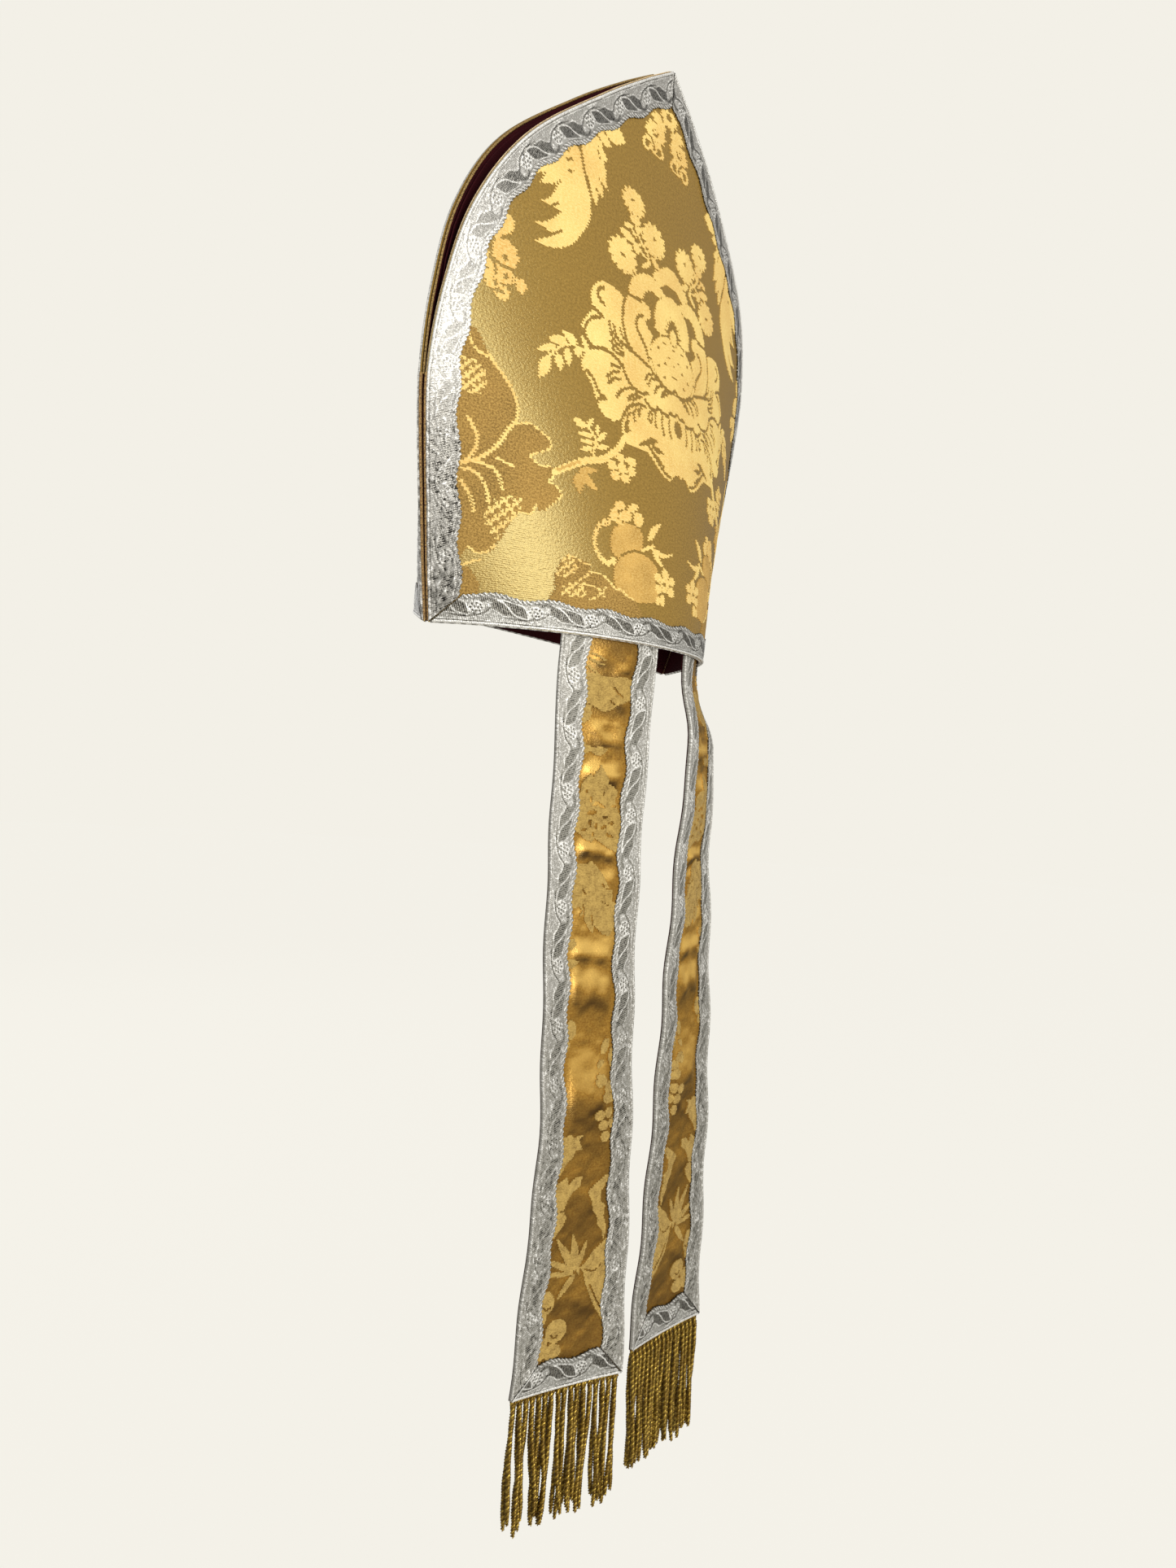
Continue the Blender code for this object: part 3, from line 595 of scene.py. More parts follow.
def drawRose(chart):  # the great flower at the panel's middle
    middle = brocade["axis"]
    drawShape(chart, [
        (20, 184), (21.5, 188), (25, 190.6), (31, 191.5), (37, 191.2), (41, 189.6), (44, 187), (48, 188),
        (53, 189.4), (58, 190), (63, 189), (67, 186.5), (69.8, 183), (70.6, 178), (69.3, 174.5), (69, 172.5),
        (73, 168), (75.7, 164.5), (76.6, 161.8), (74.6, 160.4), (73, 157.6), (70.5, 155.2), (68.5, 153),
        (71.5, 151), (75.2, 147.6), (77, 143.5), (76, 139.8), (72.6, 137), (69.4, 132), (67.6, 127),
        (66.3, 124.5), (63.6, 121.3), (59.5, 119.8), (55, 119.7), (50.5, 121.8), (49.7, 118), (49.2, 114.5),
        (47.6, 111.2), (44, 110.1), (38, 110.3), (32, 110.6), (28, 109), (23, 106), (19, 103.2),
        (14.5, 100.9), (10, 100.4), (7.5, 102), (4, 104.6), (0, 105.2), (-3, 103.6), (-6, 103), (-6, 184)])
    drawShape(chart, [
        (19.5, 185.5), (25.5, 182.5), (26.5, 180.5), (24, 178), (20.5, 175.5), (22, 172), (22, 169),
        (21, 167), (17.5, 171.5), (15, 176.5), (12, 181), (15, 186)], 0)
    drawShape(chart, [
        (16.5, 180.4), (16.8, 184), (18.2, 188), (16.4, 191.5), (15, 195.5), (11.5, 198.6), (8, 201),
        (4, 202.8), (0, 203.6), (-6, 203.6), (-6, 180)])  # the arch
    for k in range(13):  # the dark throat's rays, every other one longer, run into the arch
        angle = math.radians(-12 + 17 * k)
        far = 10.4 if k % 2 else 9.0
        c, s = math.cos(angle), math.sin(angle)
        drawLine(chart, [(middle + 5.6 * c, 182.5 + 7 * s), (middle + 0.95 * far * c, 182.5 + far * s)],
                 1.5, 0, taper=0.6)
    for y, rx, ry, weave in ((183, 6.2, 8.4, 0), (165.5, 25.6, 16.2, 0), (165.5, 24.6, 15.2, 1),
                             (181.8, 5.6, 5.4, 0), (181.8, 4.4, 4.3, 1)):  # the heart, each inside a dark rim
        drawOval(chart, middle, y, rx, ry, weave)
    for x, y in (
            (8.7, 175.5), (14.6, 171.2), (4.4, 168.9), (8.2, 164.6), (15, 161.4), (-2.2, 166), (0.3, 159.6),
            (9.3, 156.7), (-2.2, 175)):  # seeds
        drawLine(chart, [(x + 1.3, y - 0.3), (x - 1.3, y + 0.3)], 1.0, 0)
    drawShape(chart, [  # the top crescent
        (17.8, 209.3), (15.5, 212), (16, 213), (12.5, 214), (12, 215.6), (9, 216.4), (5, 219), (0, 220),
        (-6, 220.2), (-6, 210), (0, 210), (4.5, 209.3), (8.5, 206.6), (12, 206), (15, 207.6)])
    drawShape(chart, [
        (40.6, 190.6), (41, 194), (39.4, 197), (38.4, 200), (35, 202.6), (31, 205), (26, 207.2), (20, 208),
        (14, 206.6), (9, 204.5), (5.6, 202.4), (10, 200.2), (14, 199.2), (20, 199.8), (24.6, 198),
        (27.2, 196), (28, 193.6), (30.4, 191), (36, 190.4)])
    drawLines(chart, [
        [(30.5, 190.8), (35, 190.6), (40.5, 190.2)],
        [(44.3, 187), (45.8, 183.5), (46.2, 179.5), (46.6, 175), (45.4, 170.5), (44, 166.6), (41.6, 163.4),
         (38.6, 161.8)],
        [(29.2, 183.2), (32.6, 181.8), (34.8, 178.6), (34.4, 174.8), (32.4, 172.4), (30, 170.4),
         (27.4, 167.6), (25.6, 164.6), (24, 160.6)],
        [(47.4, 163), (43, 161.8), (38, 160.6), (33, 159.8), (28.4, 158.4), (23, 157.2), (19.6, 155)],
        [(61.4, 186.2), (64.8, 184.4), (65.6, 181.4), (63.6, 179), (61.2, 178)],
        [(70, 173.4), (66.4, 172.8), (62, 171.2)],
        [(74.6, 161.2), (73, 164.6), (69.6, 168), (65.6, 169.6), (62, 171.2)],
        [(68.6, 153.2), (63.5, 154.5), (58, 154.6), (53, 153.4), (49.4, 151.8), (46.4, 150.4)],
        [(47, 151), (46, 147.8), (43.4, 144.2), (39.4, 141.8), (34.4, 140.8), (30.4, 141.2), (27, 142.6)],
        [(73.6, 139.8), (69.6, 137.6), (67.4, 134), (65.4, 131.2), (61.4, 129.4)],
        [(67.2, 126.4), (64.8, 128.6), (61.4, 129.4)],
        [(50, 121.6), (47.4, 126.2), (44, 130), (39.6, 132.8), (34.4, 134.4), (30, 134.4)],
        [(29.8, 138), (26, 135.6), (21, 134.8), (18.4, 137.2), (15.8, 136.4), (11.5, 135.8), (8.4, 135.8),
         (6, 138), (1.6, 137.6), (-2.2, 139.6)],
        [(36, 112.6), (32, 114.7), (28, 113.4), (24, 110), (20, 106.6), (16, 104), (12, 102.6), (9, 102.6)],
        [(44.6, 118.2), (47, 117.2), (47.4, 120.4), (45.2, 122.6)],
        [(19.4, 155), (15, 152.4), (9, 150.6), (3, 150), (-2.2, 152.4)]], 2.0, 0)
    drawLines(chart, [
        [(53.6, 169.6), (52, 165.6), (47.5, 161.6)], [(48.4, 169.6), (46.6, 166.6), (43, 164)],
        [(56.2, 165), (53.4, 162), (47.4, 159.8)], [(55.6, 160.4), (51, 158.6), (46, 157.4)],
        [(54.6, 157.2), (50, 156), (46.6, 155.8)], [(57, 170.6), (55.8, 166.8), (51, 163.4)],
        [(55.6, 148.6), (50.6, 148.8), (48.4, 150)], [(59, 141.4), (55, 145), (50.2, 146.6)],
        [(58.4, 138.4), (54.4, 141.8), (49.2, 143)], [(52.8, 133), (49.6, 136.8), (44.6, 139.8), (39.6, 141)],
        [(44, 134.2), (41, 137.2), (36, 139.4)], [(40.6, 134.8), (37.6, 136.8), (33, 138.8)],
        [(47.4, 116.8), (46, 121), (45.4, 125), (42.4, 127.8)], [(40, 124.6), (40.4, 128.2), (38, 131)],
        [(28.2, 149.6), (25.4, 153), (20.4, 154.6)], [(26, 147.6), (23, 151.4), (17, 153)],
        [(20.4, 144.8), (17.6, 148.6), (12, 151)], [(13.4, 144.8), (11, 148.4), (5.4, 150.4)],
        [(8, 147.4), (6.4, 149), (1.4, 150)], [(27.6, 128), (27.2, 131), (24.6, 134.2)],
        [(21.4, 126.4), (22, 130.4), (20.6, 134)], [(26, 127.2), (24.2, 130.8), (24.6, 133)],
        [(14.2, 124.2), (15.4, 129.8), (14.4, 134.4)], [(7, 124.6), (8.4, 130), (7.4, 134.2)],
        [(11.4, 145.8), (9.4, 148)], [(36, 128), (35.6, 131), (33.6, 133)]], 2.1, 0, taper=0.3)
    drawShape(chart, [(37.4, 112.8), (31.6, 116.4), (25.4, 119.4), (21, 118.4), (26, 115.8), (32, 115)], 0)
    drawShape(chart, [(26.4, 115.8), (21.4, 115.2), (15.4, 113.6), (20, 112.2), (25, 113)], 0)
    drawShape(chart, [(25.6, 111.8), (20.6, 110.4), (14.8, 105.8), (18.4, 106.4), (22.6, 108.8)], 0)
    drawOval(chart, middle, 131, 4.8, 4.8, 0)
    drawShape(chart, [(-6, 153.8), (-2.2, 154), (1.2, 151.4), (-2.2, 151.6), (-6, 151)], 0)


def drawSprays(chart):  # the sprigs, berries and fruit round the rose
    drawLine(chart, [
        (71, 149), (79.5, 150), (83, 150), (88, 148), (92.5, 145), (95.5, 142), (98.5, 138)], 1.4)
    for base, tip, wide in (
            ((97, 140), (103.5, 127), 6.4), ((93, 146.2), (105, 140.4), 3.6),
            ((86, 150.4), (98.4, 148.2), 5.0), ((79.4, 151.2), (90, 155.2), 4.8),
            ((72, 150), (77, 156.6), 3.6), ((79.6, 149.6), (79, 144.6), 5.6),
            ((86.2, 147.6), (85, 138.2), 5.4), ((92.2, 143), (90, 134.6), 5.4),
            ((74, 111.2), (83, 113.4), 4.2), ((73.4, 111.4), (70.2, 117), 3.2),
            ((68, 109.6), (65.8, 115), 2.8), ((66.4, 106.6), (61, 112.4), 3.2),
            ((67, 103), (58.8, 105.6), 3.0), ((69.6, 108), (80, 107), 2.9), ((69, 105), (78.4, 103.4), 2.8),
            ((69, 102.2), (77.4, 99.4), 2.8)):
        drawLeaf(chart, base, tip, wide)
    drawLine(chart, [(69, 99), (68.5, 102.5), (67.5, 105.5), (68.5, 108), (71.5, 110.5), (74, 112)], 1.3)
    drawLine(chart, [
        (90.4, 85), (84, 89), (77, 93), (70.5, 95.6), (63, 98), (57.5, 102), (52, 107), (49, 112)], 3.6)
    drawLine(chart, [(90.4, 85.6), (84, 89.4), (77, 93.2)], 1.5, 3)
    for base, tip, wide in (
            ((77.4, 88.6), (65, 92.2), 3.6), ((77, 88), (65, 81.6), 4.6), ((77.6, 87.6), (76, 77.6), 6.4)):
        drawLeaf(chart, base, tip, wide, 3)
    drawOvals(chart, [
        (56.5, 96.8, 3, 2.8), (49.6, 97, 3.2, 2.8), (42.6, 97, 2.9, 2.8), (54, 92, 3.1, 2.3),
        (47, 92.4, 3.3, 2.4), (50.8, 102, 3.2, 2.2), (43, 102, 3.8, 2.2)])
    drawShape(chart, [
        (55.4, 59.6), (53.6, 65), (49, 68.4), (44, 69.8), (38, 69.4), (33.4, 66.4), (32.8, 61), (34, 57.6),
        (39, 56.6), (44, 54.6), (48, 51.6), (50.4, 49), (54.6, 53)], 3)
    drawShape(chart, [
        (52, 36), (52.2, 42), (50.6, 46.6), (47, 50.8), (42, 54), (36, 55.4), (30, 54.6), (24.6, 52),
        (20.8, 48), (22.4, 44), (22, 38), (20.6, 34), (22, 28), (36, 25), (48, 28)], 3)
    drawOvals(chart, [
        (54, 72, 2.6, 3.4, 20), (50.4, 77.4, 3.8, 2.3, -15), (46, 73, 4.6, 2.9, -14), (41, 78.4, 4.2, 2, -25),
        (36.8, 73.4, 3.8, 3.7), (51, 69.2, 3.4, 1.3, 14)])
    drawLine(chart, [(33.4, 57.4), (29, 60), (24.6, 62)], 1.9)
    drawLeaf(chart, (29, 63.5), (18, 75.6), 4.2, bow=-1)
    drawLeaf(chart, (27, 61.6), (6.6, 61.4), 3.2, bow=3)
    drawLeaf(chart, (25, 61), (15, 50.4), 3.8, bow=1)
    drawOvals(chart, [
        (14, 47, 3.1, 3.1), (8, 43.6, 3.1, 2.8), (8.6, 36.6, 3.2, 3.2), (14.6, 37.4, 2.4, 2.4),
        (20, 36.6, 2.8, 2.8), (20.4, 43.8, 3, 2.9), (14.4, 41, 4, 4)])
    drawOval(chart, 15, 40.4, 1.7, 1.2, 0)
    drawOval(chart, 16.4, 30, 2, 4)
    drawOval(chart, 20.4, 29, 1.6, 3)
    for x, y in (
            (57, 67.8), (60.2, 66.8), (63, 64.4), (64.6, 61), (65.2, 57.4), (65, 53.8), (63.8, 50.4),
            (61.8, 47.4), (59, 45.4), (56, 44.4)):  # the curl of dots
        drawOval(chart, x, y, 1.25, 1.9)
    drawOval(chart, 53, 46.6, 2, 2.4)
    drawShape(chart, [
        (86, 29.6), (84.6, 36), (82.4, 41.6), (79, 44), (73, 43), (67, 41.6), (66, 36.6), (59, 37), (52, 31),
        (45, 28.6), (36, 24), (36, 15), (84, 15), (85, 24)], 2)
    drawNet(chart, [(84.6, 32), (84, 38), (81, 42.6), (76.4, 43), (74, 39), (76, 34.4), (80, 31.6)], 3.6, 1.1)
    drawNet(chart, [(80, 27.4), (74, 30), (68, 27), (70, 21.6), (77, 20.6), (82, 22)], 3.8, 1.1)
    drawLines(chart, [
        [(80, 44), (75, 43.4), (70, 41), (66.6, 41.6)], [(72.6, 31), (69, 34), (66.4, 36.2)],
        [(66.6, 37), (60, 37), (55.4, 34.4), (51.4, 30.6)], [(70, 29.6), (64, 29), (58.6, 26.8), (56.4, 23)],
        [(51, 30), (47, 30.4), (43, 27.6), (38, 26)], [(57, 30), (61, 24), (65, 21.4)]], 0.95)


def drawVine(chart):  # the big leaves, vine and net cones at the panel's sides
    drawShape(chart, [
        (160, 139), (144, 141), (140, 141), (136, 139), (131.4, 131.4), (127, 127.4), (122, 122.6),
        (118.6, 119), (116, 115.6), (114.2, 111), (113.8, 106.6), (117, 100.6), (119.6, 96), (121.6, 91.6),
        (124.6, 87.6), (129, 83.6), (138, 78), (160, 78)], 2)
    drawShape(chart, [
        (139, 78), (129, 83), (121, 90), (117, 99), (114.6, 102.2), (110.6, 103.6), (106, 104.2),
        (101.6, 102.6), (97.6, 100.8), (95, 99.4), (94.6, 96), (97, 93.6), (101, 91.6), (105, 89.4),
        (101.6, 87), (98, 85.8), (93.6, 87), (91, 85), (92, 81.6), (94, 79.4), (90, 78.2), (86.4, 75),
        (88, 71.6), (91.4, 68), (94.4, 65), (98, 64.4), (100, 66.6), (100.6, 63), (103, 61.4), (107, 61),
        (110, 58), (118, 41), (121, 37.4), (126, 36.6), (131, 38.6), (134, 34), (139, 28), (160, 28),
        (160, 78)], 2)
    drawShape(chart, [(134, 20), (133.6, 27), (130, 28.6), (126.6, 25), (123, 19), (126, 12), (136, 12)], 2)
    for line, wide in (
            ([(139.6, 78), (134, 80.4), (128.4, 84), (123.4, 89), (120, 94), (118, 98.4), (115, 102.4)], 1.9),
            ([(114.6, 103), (113.6, 107), (114.6, 112), (117.4, 117.4), (122, 122.6), (127, 127), (131, 131)],
             1.5),
            ([(138.4, 99), (135.6, 95.6), (133.2, 92), (132.8, 88), (134.6, 83.4), (138, 78.6)], 1.7),
            ([(134, 79.8), (129, 79.8), (124, 79), (120.6, 76.4), (118.6, 73), (118, 70)], 1.5),
            ([(138.6, 75.6), (133, 75.4), (129, 73.2), (126.2, 69.6), (124.6, 66), (123.6, 62)], 1.6),
            ([(139.8, 70.4), (136.4, 67.6), (133.6, 64), (131.4, 60), (130.4, 56)], 1.4),
            ([(122, 84), (117, 82.8), (112.4, 82)], 1.1),
            ([(114.6, 102.2), (110.6, 103.6), (106, 104.2), (101.6, 102.6), (97.6, 100.8), (95, 99.4),
              (94.6, 96), (97, 93.6), (101, 91.6), (105, 89.4), (101.6, 87), (98, 85.8), (93.6, 87)], 0.9),
            ([(91, 85), (92, 81.6), (94, 79.4), (90, 78.2), (86.4, 75), (88, 71.6), (91.4, 68), (94.4, 65)],
             0.9), ([(100, 67), (100.6, 63), (103, 61.4), (107, 61)], 0.9),
            ([(144, 141.6), (139, 132.6), (133.6, 130), (129, 130)], 1.3),
            ([(118, 42), (122, 37.6), (127, 36.6), (130.6, 38.6)], 0.9),
            ([(125, 33), (130, 31), (133, 29.4)], 1.0)):
        drawLine(chart, line, wide)
    drawNet(chart, [
        (150, 112), (138, 110.6), (133.6, 112), (131.4, 117), (132, 122), (136, 125.6), (141, 126.6),
        (150, 124)], 3.9, 1.2)
    drawNet(chart, [
        (124.4, 59), (121, 64.4), (114, 67.6), (109.4, 69.4), (105.8, 66), (108, 60.6), (112, 54.6),
        (116.4, 46.6), (118.6, 44.6), (124.4, 50.6)], 4.4, 1.25)
    drawShape(chart, [
        (160, 200), (127, 198.4), (122, 197), (120.8, 194), (123, 190), (128, 187.4), (131, 185), (160, 185)])
    for x, y, rx, ry, petals in (
            (125.6, 179.4, 8.6, 7.2, 9), (124.6, 170, 6.8, 4.6, 7), (134.6, 170, 5.4, 5, 6),
            (115.4, 167.8, 3.8, 3.6, 5), (125.4, 161.4, 4.4, 3.9, 8), (131, 164.6, 4.6, 3.4, 5),
            (138, 177, 4, 4, 5)):
        drawDaisy(chart, x, y, rx, ry, petals, 0.24)
    drawOvals(chart, [
        (125, 177.8, 1.9, 1.3, 30), (123.8, 169.4, 1.4, 1.5), (125.6, 161.6, 1.8, 1.2),
        (119.4, 168, 1.2, 2.0), (134, 170, 1.2, 0.8)], 0)
    drawLines(chart, [
        [(131, 174.6), (126, 173.8), (120, 173)], [(130.4, 173), (129.4, 168), (130, 165)],
        [(121.4, 165), (119.4, 163.4)], [(133.4, 186), (133, 180), (133, 175.6)], [(129, 165), (128, 161)],
        [(119, 172), (119, 168), (118, 165)]], 1.5, 0)


def drawFronds(chart):  # the fronds by the upper edge, and the flowers between them
    drawShape(chart, [
        (92, 257), (84, 250), (80, 248.6), (78.4, 243), (76.6, 238), (74, 232.6), (71, 228.6), (70.4, 223),
        (72, 216), (75.4, 210.4), (79, 205.4), (82.6, 201.2), (87, 197.4), (92, 194.6), (97, 192.8),
        (102.4, 192), (108.4, 192.2), (105, 194.4), (100, 197), (95.6, 200), (101, 200.4), (109.8, 201),
        (104.6, 202.6), (100.8, 204.6), (96, 208.4), (91.8, 212.6), (97.6, 212.4), (105.4, 213.2),
        (101.8, 215), (99, 217.6), (96.4, 222), (93.6, 227), (98.6, 223.6), (106.6, 221), (104.6, 224.6),
        (103, 228), (106, 226.4), (112, 223.4), (125, 236)], smooth=False)
    drawLines(chart, [
        [(84.4, 236), (88.4, 234.6)], [(85.6, 241.6), (89, 240)], [(88, 245.4), (91, 243.6)],
        [(94, 216), (98, 213.4)], [(91, 203.6), (96, 200.4)], [(93.4, 227.4), (97, 223.6)]], 1.3, 0)
    drawShape(chart, [
        (79, 253.4), (74, 258), (67, 262), (62.4, 260), (62.6, 256.4), (61.6, 253.6), (60.6, 252.4),
        (61.4, 249.6), (59, 247.6), (59.4, 242), (57.8, 237.6), (61, 239), (64, 240.2), (66.6, 242.2),
        (64.4, 239.6), (62, 237.6), (61.6, 232), (64.4, 233.4), (67, 235.2), (68.2, 234.8), (65.4, 232.6),
        (66.8, 226), (68.4, 228), (69.6, 229.4), (70, 224), (71.6, 229.4), (74, 236), (76.2, 239.4),
        (78, 245), (79.2, 250)], smooth=False)
    drawLine(chart, [(80, 253), (78, 245), (76, 239.2), (73, 235), (70.4, 227), (70.4, 222)], 1.7, 0)
    drawShape(chart, [(65.6, 254.4), (63.6, 251.2), (58.8, 252.6), (60.4, 256.2), (63.2, 256.8)])
    drawLine(chart, [(66.2, 257.4), (65.6, 253.6), (63.6, 250.6)], 1.0, 0)
    drawShape(chart, [
        (70, 267), (66, 262.8), (61.4, 260), (57, 260.6), (55.4, 262.2), (57.4, 264), (60, 265.6),
        (64, 267.6)], smooth=False)
    drawShape(chart, [
        (70, 270), (60, 266.6), (55.4, 264.4), (52, 264.6), (47.4, 267), (42.6, 269.6), (48.4, 274.4),
        (54, 277)], smooth=False)
    drawDaisy(chart, 35.2, 241.7, 11, 7.4, 13, 0.3)
    drawOval(chart, 36.4, 242.4, 1.8, 1, 0, -25)
    drawDaisy(chart, 16, 228.7, 12.2, 9.4, 13, 0.26)
    drawOval(chart, 15.6, 230, 1.6, 0.9, 0)
    drawDaisy(chart, 45.2, 209.5, 12.6, 9.6, 13, 0.26)
    drawOval(chart, 45.6, 209.6, 2.4, 1.0, 0)
    drawOvals(chart, [
        (34, 232.6, 4.8, 2.5), (40, 227.4, 4, 1.5, -10), (30.8, 228.4, 3.8, 1.6, -30),
        (41, 221.6, 6.4, 2.3, 10), (35, 225, 2.4, 1.2, 30), (15, 216.6, 5, 1.7, 25),
        (24, 212.4, 5.2, 1.3, -32), (33, 218, 3.2, 2.6)])
    drawLine(chart, [(34.4, 232), (32.4, 227), (28, 222.6), (23.4, 219.4), (20.8, 215)], 1.3)
    drawLine(chart, [(32, 219.6), (27.4, 222.4), (23, 219.6), (21.4, 216.4), (26, 216.6), (30, 218.6)], 1.2)


def drawTip(chart):  # measured from the panel's own middle line, not the cloth's
    drawDaisy(chart, 0, 302.8, 10.6, 5.4, 9, 0.3)
    drawOval(chart, 0, 303.2, 3.2, 1.8, 0)
    drawShape(chart, [
        (18.4, 297), (13.6, 299.8), (8.8, 299.2), (3.2, 295), (5.6, 292.6), (10.2, 291.6), (13, 294.4),
        (17, 295.4)])
    drawDaisy(chart, 13.2, 288.6, 10.8, 5.6, 11, 0.28)
    drawOval(chart, 13.6, 288.6, 3.2, 1.9, 0)
    drawOval(chart, 13.6, 288.6, 1.9, 0.9, 1)
    drawLine(chart, [
        (16.4, 281.4), (19.6, 282.8), (23.4, 281.8), (24.6, 279.4), (23, 276.8), (20, 277), (18, 279)], 2.0)
    drawLine(chart, [
        (17.6, 279.6), (14.6, 277.6), (11, 277), (7.4, 277.6), (5.2, 279.6), (6.6, 282), (9.8, 283),
        (12.6, 281.8), (12, 280)], 2.0)


# the lappets are cut elsewhere from the same cloth, with leaves, berries and a spray
def lappetDesign(name):
    chart = newChart(*brocade["lappetChart"], brocade["cell"])
    # three thin lines of motif, drawn where the satin glints: a painted highlight
    drawLines(chart, [
        [(12.4, 8.6), (9, 9.6), (5, 11.4)], [(13.4, 11.6), (10, 13), (6, 13.8)],
        [(15, 15), (11.4, 17), (8.4, 19)]], 1.1)
    drawShape(chart, [
        (20, 18), (8, 19), (0, 20), (-8, 18.4), (-14, 20), (-20, 24), (-15, 30), (-12, 31.6), (-8, 33.2),
        (-5.4, 34.4), (-3.4, 36.4), (1, 37.8), (4, 37.8), (8, 36), (12, 34.4), (20, 34)], smooth=False)
    drawLine(chart, [(-2.6, 25), (-5.4, 27.4), (-8.6, 29.2)], 1.2, 0)
    drawLine(chart, [(-1, 32), (-3, 33), (-4, 34.6)], 1.0, 0)
    drawShape(chart, [
        (20, 46), (17.4, 41), (16.4, 37), (13, 35), (10, 36), (9.4, 40), (11, 43.4),
        (14.4, 45.4)], smooth=False)
    drawShape(chart, [
        (20, 52), (14, 53), (12, 56), (8, 57.2), (3, 56.4), (-1.8, 57.6), (0, 59.6), (3, 61.4), (6, 60.8),
        (8.6, 59.4), (12, 61), (20, 63)], smooth=False)
    drawShape(chart, [
        (2, 65.6), (0.4, 68), (-0.6, 71), (-3, 73), (-2.6, 75.4), (-7, 76.5), (-11, 79), (-10, 84), (-13, 90),
        (-20, 97), (-20, 108), (-12, 111), (-7, 109), (-3, 107), (0, 105.4), (2, 104.6), (4, 106.5),
        (8, 105.5), (12, 102.5), (20, 99), (20, 88), (14, 84), (13, 77), (10.6, 72.6), (8.4, 70.4), (7.4, 73),
        (5.6, 69.6), (4, 68.6)], smooth=False)
    drawOvals(chart, [
        (3, 86.4, 2.6, 1, 30), (-1, 87.4, 2.4, 1, -20), (6, 84.6, 1, 1.6), (-9, 87, 2.4, 0.9, 10),
        (5, 91, 3.4, 1.3, 10), (-4, 93, 1.8, 0.9), (5.4, 96.6, 1.3, 2, 20), (1.4, 98, 1, 1.8, -10),
        (-4, 98.4, 2.2, 0.9, 15), (-9, 96, 1.8, 0.9), (9, 100.4, 2, 0.8, 20), (-8, 102.6, 2.6, 0.9, -15),
        (2.6, 102.4, 1, 1.3), (-1.6, 80.6, 0.8, 1.2), (9, 80.4, 0.8, 1.2)], 0)
    drawShape(chart, [
        (20, 119), (12, 118), (7, 118.4), (4, 116), (1.6, 117.6), (-1, 120), (-4, 122.6), (-6, 126.4),
        (-8.4, 129.6), (-11, 131.4), (-11.6, 137), (-20, 141), (-20, 147.6), (-14.6, 151), (-12.6, 155.4),
        (-8, 155), (-4, 152.6), (0.4, 149), (-0.8, 151.4), (0, 154), (3, 152), (4.6, 149.6), (7, 146.8),
        (6.4, 143.6), (9.8, 145.2), (8.4, 142), (10.8, 140.4), (13, 141), (20, 144)], smooth=False)
    drawLines(chart, [
        [(9, 131.6), (6.4, 133.8)], [(-3.6, 128.2), (-6, 130), (-8.8, 130.6)], [(-5.6, 137.4), (-10, 139.6)],
        [(0.6, 149.4), (2, 145)], [(7, 143.6), (8, 139.6)]], 1.0, 0)
    drawShape(chart, [(20, 167.6), (13, 167.4), (9, 169), (11, 171), (14, 172.6), (20, 172)], smooth=False)
    drawOvals(chart, [(15, 160, 4, 3, 20), (14, 204, 4, 5, 10), (17, 212, 3, 3)])
    drawOvals(chart, [
        (-12, 214, 2.6, 4.6, -20), (-17, 220, 2, 5), (-8.6, 223, 3, 1.6, 30), (-9, 231, 4.6, 2.6, -25),
        (-14.6, 235.6, 4.4, 2.8, 10), (-12.6, 241, 4.4, 2.8, -12), (-18, 241, 3, 3), (-7, 249.6, 4, 2.6),
        (-14, 248.6, 3.6, 2.8), (-10.4, 255.4, 3.8, 2.8, -10), (-17.4, 254.6, 3.4, 2.8), (-13, 261.6, 3.4, 3),
        (-6, 233, 3, 1.6, -30)])
    drawShape(chart, [
        (24, 255), (17, 259), (13, 257.6), (11, 259.4), (4, 258.6), (7, 261), (3.6, 266.6), (8, 267),
        (10, 270.4), (13.6, 273), (18, 279), (24, 281)], smooth=False)
    drawShape(chart, [
        (24, 285), (18, 283), (13, 280), (11, 284.6), (7, 281.6), (1.4, 281.4), (2, 286), (7, 288.4),
        (11, 292), (14, 297), (24, 299)], smooth=False)
    drawShape(chart, [
        (24, 296), (19, 299), (14, 297.6), (11.6, 301), (14, 306), (18, 309.6), (24, 314)], smooth=False)
    drawShape(chart, [
        (-3.6, 290), (-7, 296), (-7.4, 300), (-11, 303), (-12, 308), (-15, 311), (-16.6, 317), (-18.4, 311),
        (-16, 304), (-17, 299), (-13.4, 296), (-13, 291), (-18, 286), (-24, 287), (-24, 282), (-16, 283),
        (-9.6, 286)], smooth=False)
    for base, tip, wide in (
            ((1, 331), (17.4, 311), 4.6), ((1, 330), (5.6, 310.6), 5.4), ((0, 330), (-5, 315), 3.8),
            ((2, 331), (25, 321), 3.4), ((2, 331.6), (25, 330), 2.6), ((1, 332), (12.4, 344), 4.4),
            ((0, 328), (-1.6, 333), 3)):
        drawLeaf(chart, base, tip, wide)
    drawShape(chart, [
        (-2.4, 329.6), (-6.6, 327), (-9.4, 322.6), (-13, 320.6), (-24, 318), (-24, 360), (-18, 356),
        (-13.4, 350), (-9.6, 343.6), (-6.6, 338), (-5, 333)])
    drawLine(chart, [(-10, 340), (-14, 346), (-19, 353)], 1.3, 0)
    drawLine(chart, [(-6, 331), (-12, 333), (-17, 330)], 1.0, 0)
    drawOvals(chart, [
        (19.6, 345, 5.6, 6.4), (23, 352, 5, 5), (11, 360.6, 7.4, 6), (21, 368, 5, 6), (13, 371, 6, 4)])
